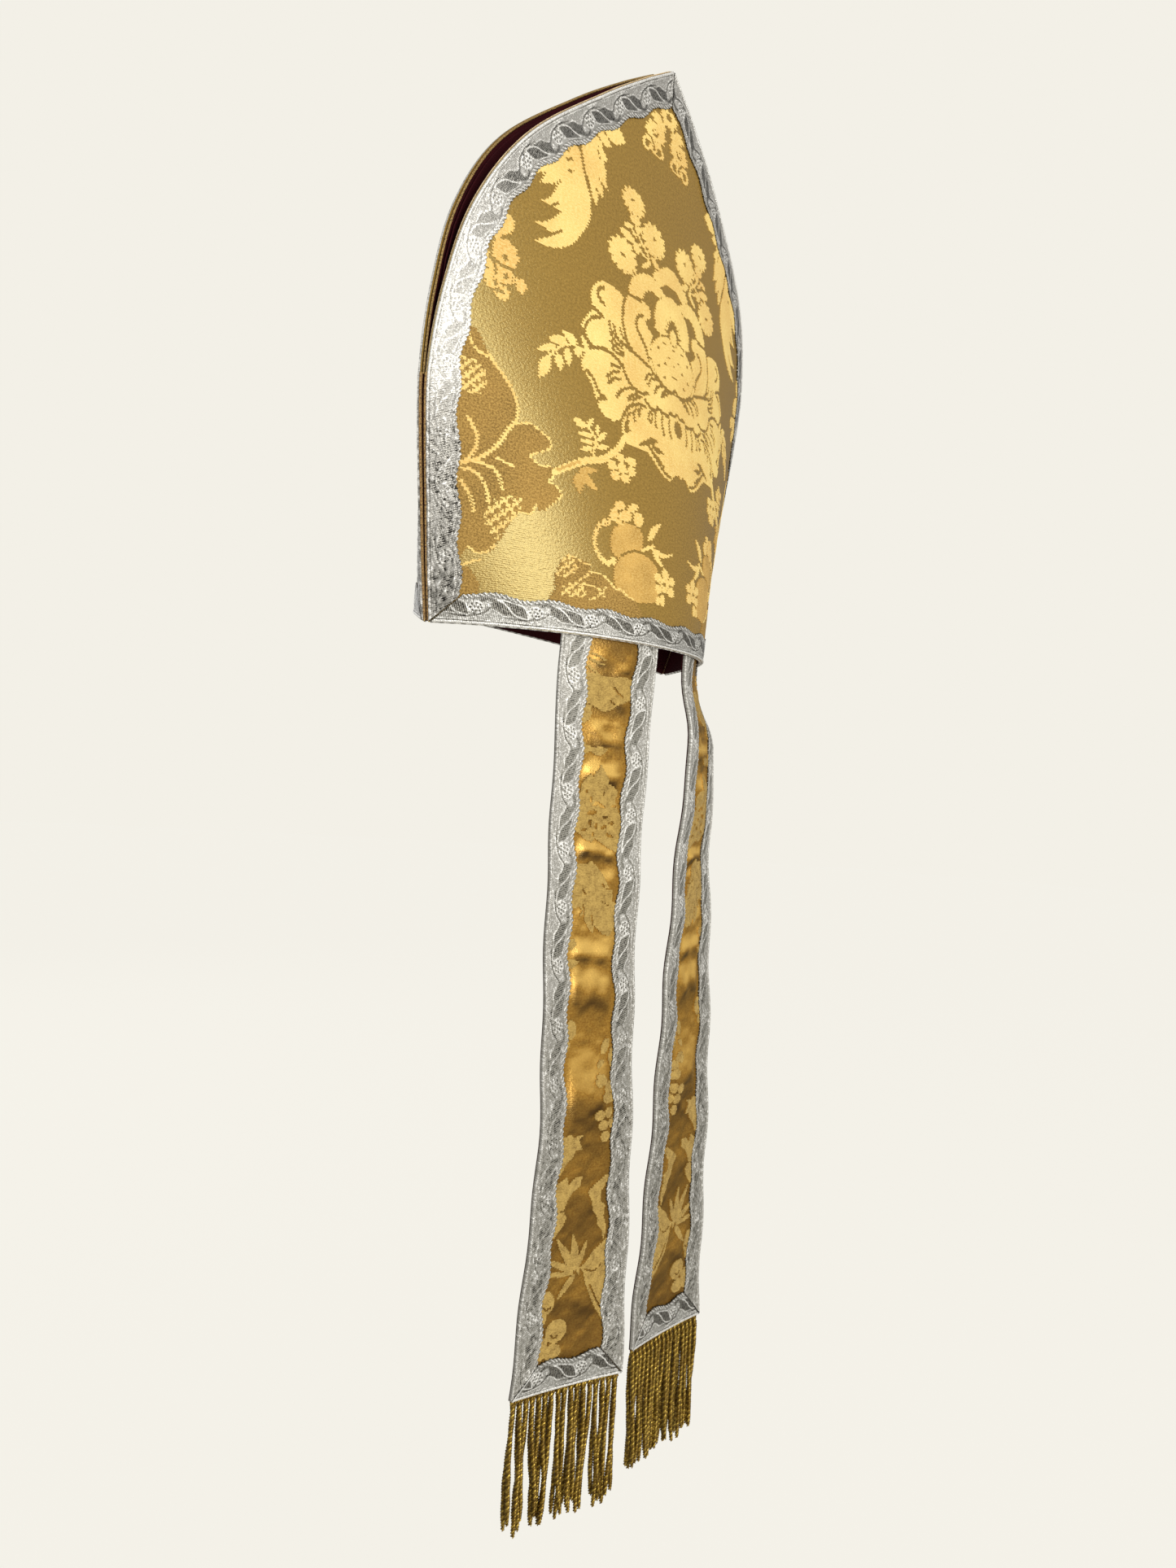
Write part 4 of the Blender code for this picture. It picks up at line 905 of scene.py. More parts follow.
    for x, y in ((12, 361), (18.6, 345.6)):
        drawLine(chart, [(x - 2.6, y + 2), (x, y + 3), (x + 2.8, y + 1)], 1.0, 0)
    if name == "right":  # the other lappet is cut as a mirror image
        chart["weave"] = chart["weave"][:, ::-1].copy()
    return chart


def chartCells(chart, x, y):  # the weave that the chart holds at those places
    cell = chart["cell"]
    i = np.clip((x / cell).astype(int), 0, chart["weave"].shape[1] - 1)
    j = np.clip((y / cell).astype(int), 0, chart["weave"].shape[0] - 1)
    return chart["weave"][j, i]


def panelDesign():  # one half is drawn, and the cloth repeats it mirrored about its middle line
    cell, free = brocade["cell"], brocade["edgeFree"]
    half = newChart(brocade["axis"], *brocade["halfChart"], cell)
    for draw in (drawVine, drawSprays, drawRose, drawFronds):
        draw(half)
    tip = newChart(*brocade["tipChart"], cell)
    drawTip(tip)
    full = newChart(*brocade["fullChart"], cell)
    gx, gy = np.meshgrid(full["x"], full["y"])
    jag = brocade["jag"] * (np.arange(len(full["y"])) % 2)[:, None]
    full["weave"] = chartCells(half, np.abs(gx - brocade["axis"]) + jag, gy)
    start, end = brocade["axisTurns"]
    axis = brocade["axis"] + (brocade["tipAxis"] - brocade["axis"]) * ease((gy - start) / (end - start))
    onTip = chartCells(tip, np.abs(gx - axis) + jag, gy - brocade["tipChart"][2])
    full["weave"] = np.where((gy > brocade["tipFrom"]) & (onTip > 0), onTip, full["weave"])
    full["weave"][(np.abs(gx) > halfWidth(gy / 1000) * 1000 - free) | (gy < free)] = 0
    return full


def clearCorners(mask):  # no two cells of a motif meet at a corner alone
    for _ in range(6):
        a, b, c, d = mask[:-1, :-1], mask[:-1, 1:], mask[1:, :-1], mask[1:, 1:]
        falling, rising = a & d & ~b & ~c, b & c & ~a & ~d
        if not (falling.any() or rising.any()):
            return
        b |= falling
        a |= rising


def motifMesh(chart, weave, place, rise):  # raised floats over the cells of one weave, as closed solids
    cell = chart["cell"]
    mask = chart["weave"] == weave
    mask[:, 0] = mask[:, -1] = mask[0] = mask[-1] = False
    clearCorners(mask)
    rows, columns = mask.shape
    tall = np.argwhere(mask[:, 1:] != mask[:, :-1])
    wide = np.argwhere(mask[1:, :] != mask[:-1, :])
    edges = [((j, i + 1), (j + 1, i + 1)) for j, i in tall.tolist()]
    edges += [((j + 1, i), (j + 1, i + 1)) for j, i in wide.tolist()]
    corners = sorted({corner for edge in edges for corner in edge})
    number = {corner: k for k, corner in enumerate(corners)}
    left, low = chart["x"][0] - cell / 2, chart["y"][0] - cell / 2
    spots = [Vector((left + i * cell, low + j * cell)) for j, i in corners]
    every = max(2, round(brocade["spread"] / cell))
    for j in range(every // 2, rows - 1, every):  # a few points inside, in staggered rows
        for i in range(every // 2 + (every // 2 if (j // every) % 2 else 0), columns - 1, every):
            if mask[max(j - 1, 0):j + 2, max(i - 1, 0):i + 2].all():
                spots.append(Vector((left + (i + 0.5) * cell, low + (j + 0.5) * cell)))
    made = delaunay_2d_cdt(spots, [(number[a], number[b]) for a, b in edges], [], 0, 1e-5)
    flat = np.array([tuple(v) for v in made[0]])
    tris = np.array([f for f in made[2] if len(f) == 3])
    middle = flat[tris].mean(1)
    tris = tris[mask[np.clip(((middle[:, 1] - low) / cell).astype(int), 0, rows - 1),
                     np.clip(((middle[:, 0] - left) / cell).astype(int), 0, columns - 1)]]
    used = np.unique(tris)
    renumber = np.full(len(flat), -1)
    renumber[used] = np.arange(len(used))
    tris, metres = renumber[tris], flat[used] / 1000
    count = len(metres)
    sides = np.concatenate([tris[:, (0, 1)], tris[:, (1, 2)], tris[:, (2, 0)]])
    seen = {(a, b) for a, b in sides.tolist()}
    rim = [(a, b) for a, b in seen if (b, a) not in seen]
    puff = np.full(count, brocade["puff"])
    puff[np.unique(np.array(rim))] = 0.0
    faces = [tuple(t) for t in tris.tolist()]
    faces += [(c + count, b + count, a + count) for a, b, c in tris.tolist()]
    faces += [(b, a, a + count, b + count) for a, b in sorted(rim)]
    points = np.concatenate([place(metres, rise + puff), place(metres, np.full(count, -brocade["sunk"]))])
    return points, faces, np.concatenate([metres, metres])


# the panels: brocade outside, burgundy lining inside, and the cloth turned in round the edge
panelGrid = {
    "columns": 76, "rows": 84, "topGap": 0.0012, "cloth": 0.0006, "narrowest": 0.0004,
    "liningInset": 0.0004, "liningInsetAbove": 0.0012, "liningBehind": 0.0001, "liningProud": 0.0002,
    "edgeSides": 8, "edgeGirth": 0.008, "edgeTube": 0.0006, "edgeTucked": 0.77, "edgeFiner": 0.26,
    "edgeSteps": (90, 60), "edgeEnds": (0.002, 0.0014), "edgeStep": 0.002,
    "seamTube": 0.0008, "seamSteps": 60, "seamEnds": (0.0008, 0.0015), "seamIn": 0.0001, "seamOut": 0.0006,
    "rimTube": 0.001, "rimShare": 0.994, "rimSteps": 160, "rimUp": 0.0006, "rimOut": 0.0002,
    "rimTone": 0.95, "ringTone": 0.5}


def panelGridPoints(inset, rows, columns, out, face, more=0.0):  # more: further in, above the side seams
    top = mitre["tip"] - panelGrid["topGap"] - inset * 2 - more * 1.5
    up = np.linspace(inset, top, rows)[:, None]
    part = np.linspace(-1, 1, columns)[None, :]
    within = inset + more * ease((up - mitre["seamTop"] + 0.002) / 0.006)
    along = part * np.maximum(halfWidth(up) - within, panelGrid["narrowest"])
    up = np.broadcast_to(up, along.shape)
    return panelPoint(along, up, out, face), np.stack([along, up], -1)


def makeEdging(name, path, finish, size, tone=None):
    sides = panelGrid["edgeSides"]
    points, faces = tubeMesh(path, size, sides)
    girth = np.tile(np.arange(sides) / sides * panelGrid["edgeGirth"], len(path))
    flat = np.stack([girth, np.repeat(lengthAlong(path), sides)], -1)
    dark = np.arange(len(points)) // sides % 3 == 0  # every third ring
    ringed = None if tone is None else tone - panelGrid["ringTone"] * dark
    addPiece(name, points, faces, flat, finish, ringed)


def makePanel(facing, face, design):
    half = mitre["wall"] / 2
    rows, columns = panelGrid["rows"], panelGrid["columns"]
    under = half - panelGrid["cloth"]
    outside, flat = panelGridPoints(0, rows, columns, half, face)
    inside, _ = panelGridPoints(0, rows, columns, under, face)
    addSheet(f"{facing}_brocade", outside, inside, flat, cloths["brocadeGround"], "brocade",
             replaces=(f"{facing}_panel",))
    lined = panelGrid["liningInset"], rows // 2, columns // 2
    more = panelGrid["liningInsetAbove"]
    outside, flat = panelGridPoints(*lined, under - panelGrid["liningBehind"], face, more)
    inside, _ = panelGridPoints(*lined, -half - panelGrid["liningProud"], face, more)
    addSheet(f"{facing}_lining", outside, inside, flat, cloths["burgundyCloth"], "burgundy_cloth")

    finer, (below, above), (low, high) = (panelGrid[k] for k in ("edgeFiner", "edgeSteps", "edgeEnds"))
    up = np.concatenate([np.linspace(mitre["seamTop"] - low, finer, below),
                         np.linspace(finer + panelGrid["edgeStep"], mitre["tip"] - high, above)])
    edge = np.concatenate([halfWidth(up), -halfWidth(up)[::-1]])
    size = panelGrid["edgeTube"]
    edge = edge - np.sign(edge) * np.minimum(size * panelGrid["edgeTucked"], np.abs(edge) * 0.6)
    makeEdging(f"{facing}_turned_edge", panelPoint(edge, np.concatenate([up, up[::-1]]), size - half, face),
               cloths["turnedEdge" if face > 0 else "turnedEdgePaintedShade"], size)
    low, high = panelGrid["seamEnds"]
    up = np.linspace(low, mitre["seamTop"] - high, panelGrid["seamSteps"])
    for label, side in (("left", 1), ("right", -1)):  # below it the two panels are sewn together
        seam = panelPoint(side * (halfWidth(up) - panelGrid["seamIn"]), up, panelGrid["seamOut"], face)
        makeEdging(f"{facing}_seam_{label}", seam, cloths["seamEdge"], panelGrid["seamTube"])
    rim = np.linspace(-halfWidth(0.0), halfWidth(0.0), panelGrid["rimSteps"]) * panelGrid["rimShare"]
    makeEdging(f"{facing}_rim_cord", panelPoint(rim, panelGrid["rimUp"], panelGrid["rimOut"], face),
               silver["rim"], panelGrid["rimTube"], panelGrid["rimTone"])

    def place(metres, rise):
        return panelPoint(metres[:, 0], metres[:, 1], half + rise, face)

    for weave, name in ((1, "Flowers"), (2, "Leaves"), (3, "Fruits")):
        points, faces, flat = motifMesh(design, weave, place, brocade["rise"])
        addPiece(f"{facing}_{name.lower()}", points, faces, flat, cloths["brocade" + name],
                 sharp=35)
    print(facing, "panel made")


# the galloon: a woven silver band, in millimetres, that runs round every edge
galloon = {
    "width": 15.9, "scallop": 1.15, "scallopAt": 20.8, "repeat": 30.0, "cell": 0.15, "tall": 18,
    "heights": (0.20, 0.34, 0.50, 0.08), "tones": (0.64, 0.22, 0.98, 0.04),  # ground, leaf, cord, shadow
    "cord": 1.35, "cordTwist": 1.9, "groove": 1.8, "thinCord": 2.3,  # from the straight outer edge
    "border": 2.2, "borderLine": (2.15, 2.65), "loops": 2.7, "loopOut": 0.35,  # from the scalloped inner edge
    "rows": (0, 0.2, 0.65, 1.1, 1.35, 1.6, 1.85, 2.2, 2.6), "rowStep": 0.56,
    "borderRows": (2.75, 2.35, 1.95, 1.55, 1.15, 0.75, 0.35, 0),
    "seamWidth": 0.55, "foldWidth": 0.4,
    # where in its repeat each band starts: a side's run down and up, the rim, a lappet's two sides and foot
    "startDown": 13.0, "startUp": 21.0, "startRim": 15.5, "startSides": (20.8, 13.2), "startFoot": 3.5,
    # handling: crushed thread goes uneven and towards one tone; and a painted sheen makes the thread lighter
    "crushedLumps": 1.6, "crushedUneven": 0.28, "crushedTone": 0.37, "crushedShare": 0.55,
    "paintedSheen": 0.75, "paintedSheenShare": 0.8, "footTone": 0.6, "wrappedTone": 0.3,
    # these in metres, the last three with the distance over which they fade
    "inset": 0.0002, "mitreGap": 0.00025, "narrowest": 0.0004, "clear": 0.0003, "base": 0.00025,
    "under": 0.0002, "wrap": 0.0010, "step": 0.00062, "coarseStep": 0.0011, "lumps": 0.00007, "fold": 0.0003,
    "edgeRise": 0.00012, "wrappedRise": 0.0003, "overhang": 0.0004,
    "gripped": (0.14, 0.06), "paintedSheenFrom": (0.075, 0.05), "paintedSheenTo": (0.235, 0.06)}


def galloonWidth(s):  # its inner edge is scalloped, once a repeat
    turn = math.tau * (s - galloon["scallopAt"]) / galloon["repeat"]
    return galloon["width"] + galloon["scallop"] * np.cos(turn)


def drawGalloon():  # one repeat: a pair of hatched leaves, a berry, and the stem that swags under them
    chart = newChart(0, galloon["repeat"], 0, galloon["tall"], galloon["cell"])

    def moved(points, by):
        return [(x + by, y) for x, y in points]

    for by in (-galloon["repeat"], 0.0, galloon["repeat"]):
        drawOval(chart, 12 + by, 8.6, 4.0, 3.4, 2)
        drawLine(chart, moved([(-15.8, 12.2), (-13.9, 13.4), (-11.4, 13.6), (-9, 12.6)], by), 1.3)
        for outline in (
                [(-11, 13.6), (-9.2, 13.3), (-7, 12.9), (-3.2, 10.9), (0, 7.5), (3.2, 5.6), (1.6, 5.0),
                 (0, 5.5), (-2.6, 5.0), (-3.6, 5.8), (-5.2, 5.6), (-6.4, 7), (-8.0, 7.4), (-8.8, 8.2),
                 (-10.6, 8.6), (-10.2, 10.4), (-10.4, 12)],
                [(-7, 12.9), (-4, 13.0), (-1.5, 12.6), (1, 11.9), (3.2, 11.6), (5.8, 10.6), (7.2, 8.6),
                 (8.0, 6.4), (8.8, 4.6), (6, 4.9), (3.2, 5.6), (0, 7.5), (-3.2, 10.9)],
                [(-3.6, 5.0), (0, 4.1), (4, 3.7), (8.6, 4.1), (6, 4.5), (2, 4.7)]):
            drawShape(chart, moved(outline, by), smooth=False)
        for line, wide, code in (
                ([(-7, 12.9), (-4, 13.2), (-1.5, 12.8), (1, 12.3), (3.4, 11.8), (6.0, 10.8), (7.4, 8.7),
                  (8.2, 6.5), (9.0, 4.8)], 0.5, 2),
                ([(-10.4, 8.4), (-8.6, 7.8), (-6.4, 6.8), (-4.8, 5.4), (-2.6, 5.1), (0, 5.2), (1.6, 4.8)],
                 0.5, 2),
                ([(3.6, 3.0), (8.6, 3.3), (12, 3.9), (15.7, 5.1), (18, 6.9), (19.4, 8.3)], 0.5, 2),
                ([(4, 3.6), (8.6, 4.0), (12, 4.6), (15.5, 5.8), (17.6, 7.4), (19, 8.8)], 0.7, 3),
                ([(-7.4, 13.1), (-5, 12.2), (-3.2, 10.9), (-1.4, 9.2), (0, 7.5), (1.6, 6.3), (3.2, 5.5),
                  (6, 4.8), (8.8, 4.5)], 0.7, 2)):
            drawLine(chart, moved(line, by), wide, code)
        for x, y in ((9.9, 10.2), (11.9, 10.7), (13.9, 10.2), (9.2, 8.5), (11.2, 8.9), (13.1, 8.6),
                     (14.9, 8.7), (10.3, 6.9), (12.3, 6.9), (14.0, 7.0), (11.4, 5.7)):
            drawOval(chart, x + by, y, 0.62, 0.58, 3)
        for x, y in ((17.7, 10.6), (18.6, 11.5), (17.4, 11.9), (18.4, 9.9)):
            drawOval(chart, x + by, y, 0.45, 0.42, 2)
    reliefs = [np.array(galloon[kind])[chart["weave"]] for kind in ("heights", "tones")]
    for axis in (0, 1):  # softened over about half a millimetre, as the threads bridge the steps
        reliefs = [(relief + np.roll(relief, 1, axis) + np.roll(relief, -1, axis)) / 3 for relief in reliefs]
    return reliefs


galloonHeights, galloonTones = drawGalloon()


def galloonRelief(s, t):  # the woven pattern: how high and how light it is, s along the band and t across it
    i = (s % galloon["repeat"] / galloon["cell"]).astype(int) % galloonHeights.shape[1]
    j = np.clip((t / galloon["cell"]).astype(int), 0, galloonHeights.shape[0] - 1)
    inner = galloonWidth(s) - t
    loop = 0.5 + 0.5 * np.sin(math.tau * s / galloon["loops"] - inner * 3.0 + 0.7 * np.sin(s * 0.9))
    twist = 0.5 + 0.5 * np.sin(math.tau * (s + t) / galloon["cordTwist"])
    crown = np.sqrt(np.clip(1 - ((t - 0.68) / 0.72) ** 2, 0, 1))
    height, tone = galloonHeights[j, i], galloonTones[j, i]
    for where, high, light in (
            (inner < galloon["border"], 0.14 + 0.30 * loop, 0.34 + 0.62 * loop ** 1.3),
            ((inner > galloon["borderLine"][0]) & (inner < galloon["borderLine"][1]), 0.10, 0.40),
            (t < galloon["cord"], 0.12 + 0.5 * crown + 0.06 * twist, 0.92 + 0.12 * twist),
            ((t >= galloon["cord"]) & (t < galloon["groove"]), 0.06, 0.30),
            ((t >= galloon["groove"]) & (t < galloon["thinCord"]), 0.34, 0.84)):
        height, tone = np.where(where, high, height), np.where(where, light, tone)
    return height / 1000, tone


def galloonEdgeWaver(s, t):  # uneven loops stand out from the scalloped edge
    near = np.clip((t - galloonWidth(s) + 1.2) / 1.2, 0, 1) ** 2
    loops = np.sin(math.tau * s / galloon["loops"]) + 0.5 * np.sin(s * 1.13 + 0.8) + 0.35 * np.sin(s * 5.1)
    return t + galloon["loopOut"] * near * loops


# s is in millimetres, one a station along the band; width is what a mitred corner leaves of it there.
# crumple, bright and fold run 0 to 1: crushed and dull, a painted sheen that makes it brighter, and a fold
# standing at the mitre, painted light as a highlight
def makeGalloon(name, finish, s, width, place, replaces, crumple=0.0, bright=0.0, wrap=0.0, fold=0.0):
    full = galloon["width"] + galloon["scallop"]
    middle = np.arange(galloon["rows"][-1], full - 3.1, galloon["rowStep"])[1:]
    t = np.concatenate([galloon["rows"], middle, full - np.array(galloon["borderRows"])])[None, :] / full
    t = t * width[:, None] * 1000
    n, k = t.shape
    stations = np.broadcast_to(s[:, None], t.shape)
    crumpled, bright, fold = (np.broadcast_to(share, s.shape)[:, None] for share in (crumple, bright, fold))
    height, tone = galloonRelief(stations, t)
    if finish == "lappet":  # its outer cord is flatter and duller, and both its edges stay light
        tone = np.where(t < galloon["thinCord"], 0.62 + 0.3 * (tone - 0.6), tone)
        crumpled = crumpled * np.where((t < 1.3) | (galloonWidth(stations) - t < galloon["border"]), 0.2, 1)
    uneven = (lumpy(stations / 1.5, t / 1.2 + 11) + 0.8 * lumpy(stations / 0.8 + 5, t / 0.8)
              + 0.7 * lumpy((stations + t) / 3.6, (t - stations) / 2.4 + 7))
    height = height + galloon["base"] + galloon["lumps"] * uneven * (0.5 + crumpled * galloon["crushedLumps"])
    tone = tone + crumpled * (galloon["crushedUneven"] * uneven
                              + galloon["crushedShare"] * (galloon["crushedTone"] - tone))
    tone = tone + bright * (1 - tone) * galloon["paintedSheenShare"]
    # along a mitre the band is painted dark, as shade where the bands overlap, or light, as a highlight on a
    # fold
    mitred = np.clip((galloonWidth(s) - width * 1000 - 0.5) / 1.0, 0, 1)[:, None]
    cut = mitred * (t > (width[:, None] * 1000 - galloon["seamWidth"] - galloon["foldWidth"] * fold))
    tone, height = tone + cut * (fold - tone), height + galloon["fold"] * cut * fold
    height[:, 0] = galloon["wrappedRise" if wrap else "edgeRise"]
    # the scalloped inner edge is painted dark as the shadow under it, unless a fold is painted light there
    tone[:, -1] = np.maximum(0.1, (mitred * fold)[:, 0])
    reach = galloonEdgeWaver(stations, t) / 1000
    reach = np.minimum(reach, np.maximum(width[:, None], reach.min()) + galloon["overhang"])
    ends = reach[:, [0, -1]]
    under = galloon["clear"] - galloon["under"]
    top = place(reach, galloon["clear"] + height)
    foot = place(ends, np.tile([under - wrap, under], (n, 1)))
    faces = []
    for i in range(n - 1):
        a, b = i * k, n * k + i * 2
        faces += [(a + j, a + j + 1, a + k + j + 1, a + k + j) for j in range(k - 1)]
        faces += [(b, b + 2, b + 3, b + 1), (a, a + k, b + 2, b), (a + k - 1, b + 1, b + 3, a + 2 * k - 1)]
    for a, b in ((0, n * k), ((n - 1) * k, n * k + (n - 1) * 2)):  # its two cut ends
        faces.append(tuple(range(a, a + k)) + (b + 1, b))
    flat = np.concatenate([np.stack([stations / 1000, reach], -1).reshape(-1, 2),
                           np.stack([np.repeat(s, 2) / 1000, ends.ravel()], -1)])
    # the foot under the scalloped edge is painted black as its shadow, and a wrapped outer foot darker than a
    # plain one, as painted shade
    tones = np.concatenate([tone.ravel(), np.tile([galloon["wrappedTone" if wrap else "footTone"], 0.0], n)])
    points = np.concatenate([top.reshape(-1, 3), foot.reshape(-1, 3)])
    return addPiece(name, points, faces, flat, silver[finish], tones, replaces, sharp=60)


def sideOutline(step):  # up the panel's edge: edge, up, the direction in, and the distance travelled
    fine = 0.0002
    up, found, travelled, due = galloon["inset"] + galloon["mitreGap"], [], 0.0, 0.0
    while up < mitre["tip"] - 0.0005:
        slope = float(halfWidth(up + fine) - halfWidth(up - fine)) / (2 * fine)
        length = math.hypot(1, slope)
        if travelled >= due:
            found.append((float(halfWidth(up)), up, -1 / length, slope / length, travelled))
            due += step
        up += fine / length
        travelled += fine
    return np.array(found)


def makePanelGalloons(facing, face, step):
    wall, gap, inset = mitre["wall"], galloon["mitreGap"], galloon["inset"]
    edge, up, inAlong, inUp, travelled = sideOutline(step).T
    corner = float(halfWidth(0.0)) - gap * 2
    roomAtRim = (up - (corner - edge)) / np.maximum(-inAlong - inUp, 0.01) - gap
    roomAtTip = (edge - gap) / -inAlong
    room = np.minimum(roomAtRim, roomAtTip) - inset
    gripped, paintedSheenFrom, paintedSheenTo = galloon["gripped"], galloon["paintedSheenFrom"], galloon["paintedSheenTo"]
    crumple = ease((gripped[0] - travelled) / gripped[1])  # crushed where the mitre is held, with a painted sheen above
    bright = galloon["paintedSheen"] * ease((travelled - paintedSheenFrom[0]) / paintedSheenFrom[1])
    bright = bright * ease((paintedSheenTo[0] - travelled) / paintedSheenTo[1])
    for name, side in (("left", 1), ("right", -1)):
        down = side * face > 0  # the ribbon runs down this side, seen from outside
        s = (-travelled if down else travelled) * 1000 + galloon["startDown" if down else "startUp"]
        width = np.maximum(np.minimum(galloonWidth(s) / 1000, room), galloon["narrowest"])

        def place(reach, out, side=side):
            far = inset + reach
            along = np.maximum(edge[:, None] + inAlong[:, None] * far, gap)
            return panelPoint(side * along, up[:, None] + inUp[:, None] * far, wall / 2 + out, face)

        makeGalloon(f"{facing}_galloon_{name}", "side", s, width, place, (f"galloon_{facing}_{name}",),
                    crumple, bright if down else 0.0)
    corner = float(halfWidth(0.0)) - gap * 3
    end = corner - inset - galloon["narrowest"]
    along = np.linspace(-end, end, round(2 * end / step))
    s = -along * face * 1000 + galloon["startRim"]
    width = np.minimum(galloonWidth(s) / 1000, corner - np.abs(along) - inset)

    def placeRim(reach, out):
        return panelPoint(np.broadcast_to(along[:, None], reach.shape), inset + reach, wall / 2 + out, face)

    makeGalloon(f"{facing}_galloon_rim", "rim", s, width, placeRim, (f"galloon_{facing}_rim",))
    print(facing, "galloon sewn on")


# the soft fold between the points
innerFold = {"cloth": 0.0012, "halfWidth": 0.1525, "belowEdge": 0.003, "clear": 0.001, "valleyUp": 0.123,
             "valleySag": 0.022, "columns": 64, "rows": 22, "wrinkle": 0.0012, "wrinkles": 150, "apart": 0.4,
             "flat": (0.305, 0.42), "flatShare": 0.62}  # it is cut to a point at both ends


def makeInnerFold():
    rows, columns = innerFold["rows"], innerFold["columns"]
    middle = -(mitre["wall"] / 2 + innerFold["clear"] + innerFold["cloth"] / 2)
    k = np.arange(-rows, rows + 1)[:, None]
    part = np.linspace(-1, 1, columns)[None, :]
    along = np.broadcast_to(innerFold["halfWidth"] * part, (2 * rows + 1, columns))
    down = 1 - np.abs(k) / rows
    top = edgeHeight(along) - innerFold["belowEdge"]
    valley = innerFold["valleyUp"] - innerFold["valleySag"] * (1 - part ** 2)
    up = top + (valley - top) * down
    narrow = np.sqrt(np.maximum(1 - down ** 4, 0))
    crease = innerFold["wrinkle"] * np.sin(along * innerFold["wrinkles"] + k / rows * 2.2)
    crease = crease * down * (1 - down ** 6)
    grids = []
    for away in (-0.5, 0.5):
        out = middle + away * innerFold["cloth"] * 0.6
        back, front = panelPoint(along, up, out, 1), panelPoint(along, up, out, -1)
        nearer = np.where(k[..., None] < 0, back, front)
        sheet = narrow[..., None] * nearer + (1 - narrow[..., None]) * (back + front) / 2
        sheet[..., 1] += np.where(k < 0, -1, 1) * crease
        sheet[..., 2] += 0.6 * crease + away * innerFold["cloth"] * 0.5 * (1 - narrow)
        grids.append(sheet)
    flat = np.stack([along, up + np.where(k < 0, 0.0, innerFold["apart"])], -1)
    piece = addSheet("point_fold", *grids, flat, cloths["burgundyCloth"], "burgundy_cloth",
                     replaces=("inner_fold",))
    print("fold between the points made")


# the lappets: drops, heights and spreads in metres, measured down from the rim
lappetLook = {
    "columns": 32, "rows": 190, "tuckRows": 6, "liningRows": 70, "liningColumns": 12, "cloth": 0.0005,
    "liningAt": -0.0002, "liningInset": 0.0004, "edgeIn": 0.0005, "meanWidth": 0.066, "bandWidth": 0.0158,
    "trimInset": 0.0001, "trimGap": 0.0002, "trimEnds": (0.0005, 0.0006), "footEnds": 0.0008,
    "sewnOver": 0.0008, "flattenedOver": 0.0012, "flattest": 0.12,
    "crushed": 0.75, "crushedFrom": 0.15, "paintedSheen": 0.1, "paintedSheenTo": 0.19, "fadeOver": 0.1,
    "freeOver": 0.006, "settlesOver": 0.012, "wavering": 0.0022, "unequal": 0.45, "crumple": 0.00034,
    "lowest": -0.0004, "calmFrom": 0.14, "calmer": 0.45,
    "evenTone": 0.46, "leanTone": 2.1, "shadeLean": 0.7, "slopeOver": 0.0008,
    "creases": {"left": (0.0, 0.12), "right": (0.004, -0.10)},  # how much lower they lie, and their slant
    "tones": (  # how much lighter the satin is painted, as highlight or as shade: drop, tone
        (0.000, -0.20), (0.032, -0.18), (0.046, 0.0), (0.140, 0.0), (0.157, 0.24), (0.174, 0.0),
        (0.215, 0.0), (0.280, -0.22)),
    "swells": (  # where the cloth stands up between its bands: drop, height, spread
        (0.014, 0.0008, 0.009), (0.032, 0.0009, 0.005), (0.051, 0.0014, 0.0060), (0.0735, 0.0022, 0.0058),
        (0.092, 0.0008, 0.005), (0.1115, 0.0016, 0.0042), (0.1260, 0.0014, 0.0070), (0.1490, 0.0011, 0.0060),
        (0.1645, 0.0017, 0.0055), (0.1840, 0.0023, 0.0095), (0.2400, 0.0027, 0.0165),
        (0.2920, 0.0011, 0.0160), (0.3450, 0.0010, 0.0150))}


def lappetSwell(name, part, drop):  # the strip puffs and creases between its two bands of galloon
    wide = lappetHalf(name, drop)
    across = part * wide
    free = ease((wide - lappetLook["bandWidth"] - np.abs(part) * wide) / lappetLook["freeOver"])
    lower, slant = lappetLook["creases"][name]
    off = 0.0
    for at, high, spread in lappetLook["swells"]:
        bent = slant * across + lappetLook["wavering"] * lumpy(across / 0.008 + at * 900, drop / 0.02)
        taller = 1 + lappetLook["unequal"] * lumpy(across / 0.007 + at * 500, drop / 0.015 + 4)
        off = off + high * taller * np.exp(-((drop + bent - at - lower) / spread) ** 2)
    calm = 1 - lappetLook["calmer"] * ease((drop - lappetLook["calmFrom"]) / 0.04)  # smoother further down
    off = off + lappetLook["crumple"] * calm * (lumpy(across / 0.007 + 3, drop / 0.0055)
                                                + 0.6 * lumpy(across / 0.0036, drop / 0.0030))
    off = np.maximum(off, 0) + lappetLook["lowest"]
    return off * free * ease(drop / lappetLook["settlesOver"])


def lappetFlat(name, part, drop):  # the place in the flat cloth
    return np.stack([part * lappetHalf(name, drop), drop], -1)


